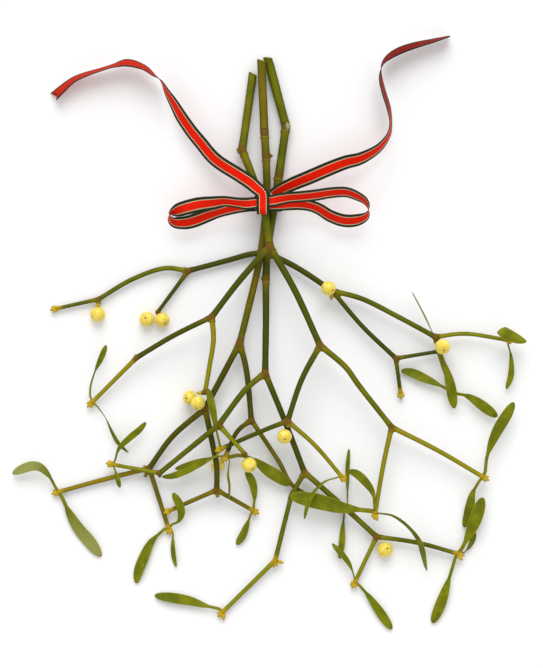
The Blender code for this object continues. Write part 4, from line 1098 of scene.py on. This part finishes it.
LOOP_RIGHT = [
    (-3, 85, 22.3, 0, 0.75), (2.5, 85.5, 22.3, 0, 0.78), (7, 86.5, 23, -22, 0.85),
    (13, 87.5, 23.8, -38, 0.9), (20, 88, 24.3, -42, 0.95), (30, 89, 24.7, -44, 1),
    (39.5, 90.5, 24.7, -47, 1), (49.5, 91, 24, -50, 1), (57, 88.5, 22.5, -56, 1), (62.5, 85, 20.3, -68, 1),
    (64.5, 80, 17.6, -90, 1), (62.5, 75.5, 15.2, -122, 1), (56, 73, 13.8, -142, 1), (48, 73, 13.6, -145, 1),
    (39.5, 76, 14.3, -141, 1), (33, 80, 15.6, -138, 1), (26.5, 82.5, 17, -139, 0.95),
    (18, 83.5, 18.7, -152, 0.87), (7, 82.5, 20.4, -172, 0.7), (-3, 82, 20.7, -180, 0.64),
]

# %% Lay the ribbon
RIBBON_WIDTH = 10.0
RIBBON_THICK = 0.45
PLEATS = 0.0012


def lay(name, line, facts, cloth, node, pleats=0.0):
    base = line_object(name, [line], **dict(zip(("across", "half", "pinch", "nick"), facts)))
    ribbon = grown(base, band_tree, Thickness=RIBBON_THICK * MM, Cup=0.0, Flatness=4.0, Pleats=pleats,
                   Skin=cloth)
    wear(ribbon, node)
    print(name, "is", round(travelled(line)[-1]), "mm long")


def ribbon_run(name, stations, node, cloth, notch=0.0):
    """A run of ribbon along its stations, which hold a place, a roll and a share of the full width."""
    line = smooth_line([place(station) for station in stations], 6)
    turns = smooth_line([Vector((*station[3:], 0)) for station in stations], 6)
    acrosses = []
    for k in range(len(line)):
        ahead = line[min(k + 1, len(line) - 1)] - line[max(k - 1, 0)]
        level = Vector((ahead.y, -ahead.x, 0)).normalized()
        roll = math.radians(turns[k].x)
        acrosses.append(tuple(level * math.cos(roll) + Vector((0, 0, 1)) * math.sin(roll)))
    left = travelled(line)[-1] - travelled(line)
    halves = [turn.y * RIBBON_WIDTH / 2 * MM for turn in turns]
    pinch = [max(0.0, 1 - turn.y) for turn in turns]
    nick = [notch * MM * max(0.0, 1 - gap / 2.5) for gap in left]
    lay(name, line, (acrosses, halves, pinch, nick), cloth, node, PLEATS)


RUNS = {"tail_left": (TAIL_LEFT, tail_cloth, "draped"), "tail_right": (TAIL_RIGHT, far_cloth, "draped"),
        "loop_left": (LOOP_LEFT, bow_cloth, "folded"), "loop_right": (LOOP_RIGHT, bow_cloth, "folded")}
for name, (stations, cloth, held) in RUNS.items():
    notch = 4.0 if name == "tail_left" else 0.0
    ribbon_run(name, stations, "ribbon_" + name, cloth, notch)

# %% [markdown]
# ## The wrap and the knot's band
# A taut ribbon takes the shortest way round what it holds, so the wrap round the stems and the band
# over the loops are outlines of circles. Both close on themselves.

# %% Wrap and knot
TIE_Y = 84.0
STEMS_AT_TIE = [(-6.1, 14.0, 2.6), (-3.5, 15.3, 2.6), (-4.0, 9.0, 2.7), (4.8, 5.5, 2.8), (3.2, 5.5, 2.8)]
KNOT_X = -3.6
LOOPS_AT_KNOT = [(79.2, 20.4, 0.9), (90.0, 20.4, 0.9), (79.2, 22.4, 0.9), (90.0, 22.4, 0.9)]


def taut_outline(rounds, gap, count):
    """The line that a taut ribbon takes round some circles (u, v, radius), this far off them."""
    outline = []
    for k in range(count):
        aim = (math.cos(2 * math.pi * k / count), math.sin(2 * math.pi * k / count))
        u, v, radius = max(rounds, key=lambda r: r[0] * aim[0] + r[1] * aim[1] + r[2])
        outline.append((u + (radius + gap) * aim[0], v + (radius + gap) * aim[1]))
    return outline


def ribbon_band(name, route, axis, width, node):
    """A closed band: its line comes back to its start, and its width runs along one axis."""
    line = [place(point) for point in route + route[:1]]
    facts = [[value] * len(line) for value in (axis, width / 2 * MM, 0.0, 0.0)]
    lay(name, line, facts, bow_cloth, node)


wrap = [(u, TIE_Y, v) for u, v in taut_outline(STEMS_AT_TIE, 0.6, 60)]
ribbon_band("wrap_band", wrap, (0, 1, 0), RIBBON_WIDTH - 0.2, "ribbon_wrap")
knot = [(KNOT_X, u, v) for u, v in taut_outline(LOOPS_AT_KNOT, 0.0, 60)]
ribbon_band("knot_band", knot, (1, 0, 0), RIBBON_WIDTH - 2.2, "ribbon_knot")

# %% [markdown]
# ## Table and light
# The table is a plain pale surface. A broad window light beyond the cut ends gives the faint, soft
# shadows, and the pale world fills them.

# %% Table, light and world
floor_skin, takes = new_group("ShaderNodeTree", "table_skin", {"Paint": ("Color", (0.9, 0.9, 0.9, 1))})
tooth = grain_of(900.0, 2.0)
give(Color=blend(times(tooth, 0.02), takes["Paint"], (0.8, 0.8, 0.8, 1)),
     Roughness=times_plus(tooth, 0.1, 0.75), Height=tooth)
table_paint = new_material("table_paint", floor_skin, {}, bump=0.02, depth=0.0001)
mesh = bpy.data.meshes.new("table")
mesh.from_pydata([(-3, -3, 0), (3, -3, 0), (3, 3, 0), (-3, 3, 0)], [], [(0, 1, 2, 3)])
mesh.materials.append(table_paint)
table = bpy.data.objects.new("table", mesh)
bpy.context.scene.collection.objects.link(table)

window = bpy.data.objects.new("window", bpy.data.lights.new("window", "SUN"))
window.data.energy = 1.85
window.data.angle = math.radians(46)
window.location = (0.0, 1.2, 1.05)
window.rotation_euler = (Vector((0, 0, 0)) - window.location).to_track_quat("-Z", "Y").to_euler()
bpy.context.scene.collection.objects.link(window)

world = bpy.data.worlds.new("pale_room")
world.use_nodes = True
world.node_tree.nodes["Background"].inputs[0].default_value = (1.0, 1.0, 1.0, 1)
world.node_tree.nodes["Background"].inputs[1].default_value = 0.8
bpy.context.scene.world = world
bpy.context.scene.view_settings.view_transform = "Standard"
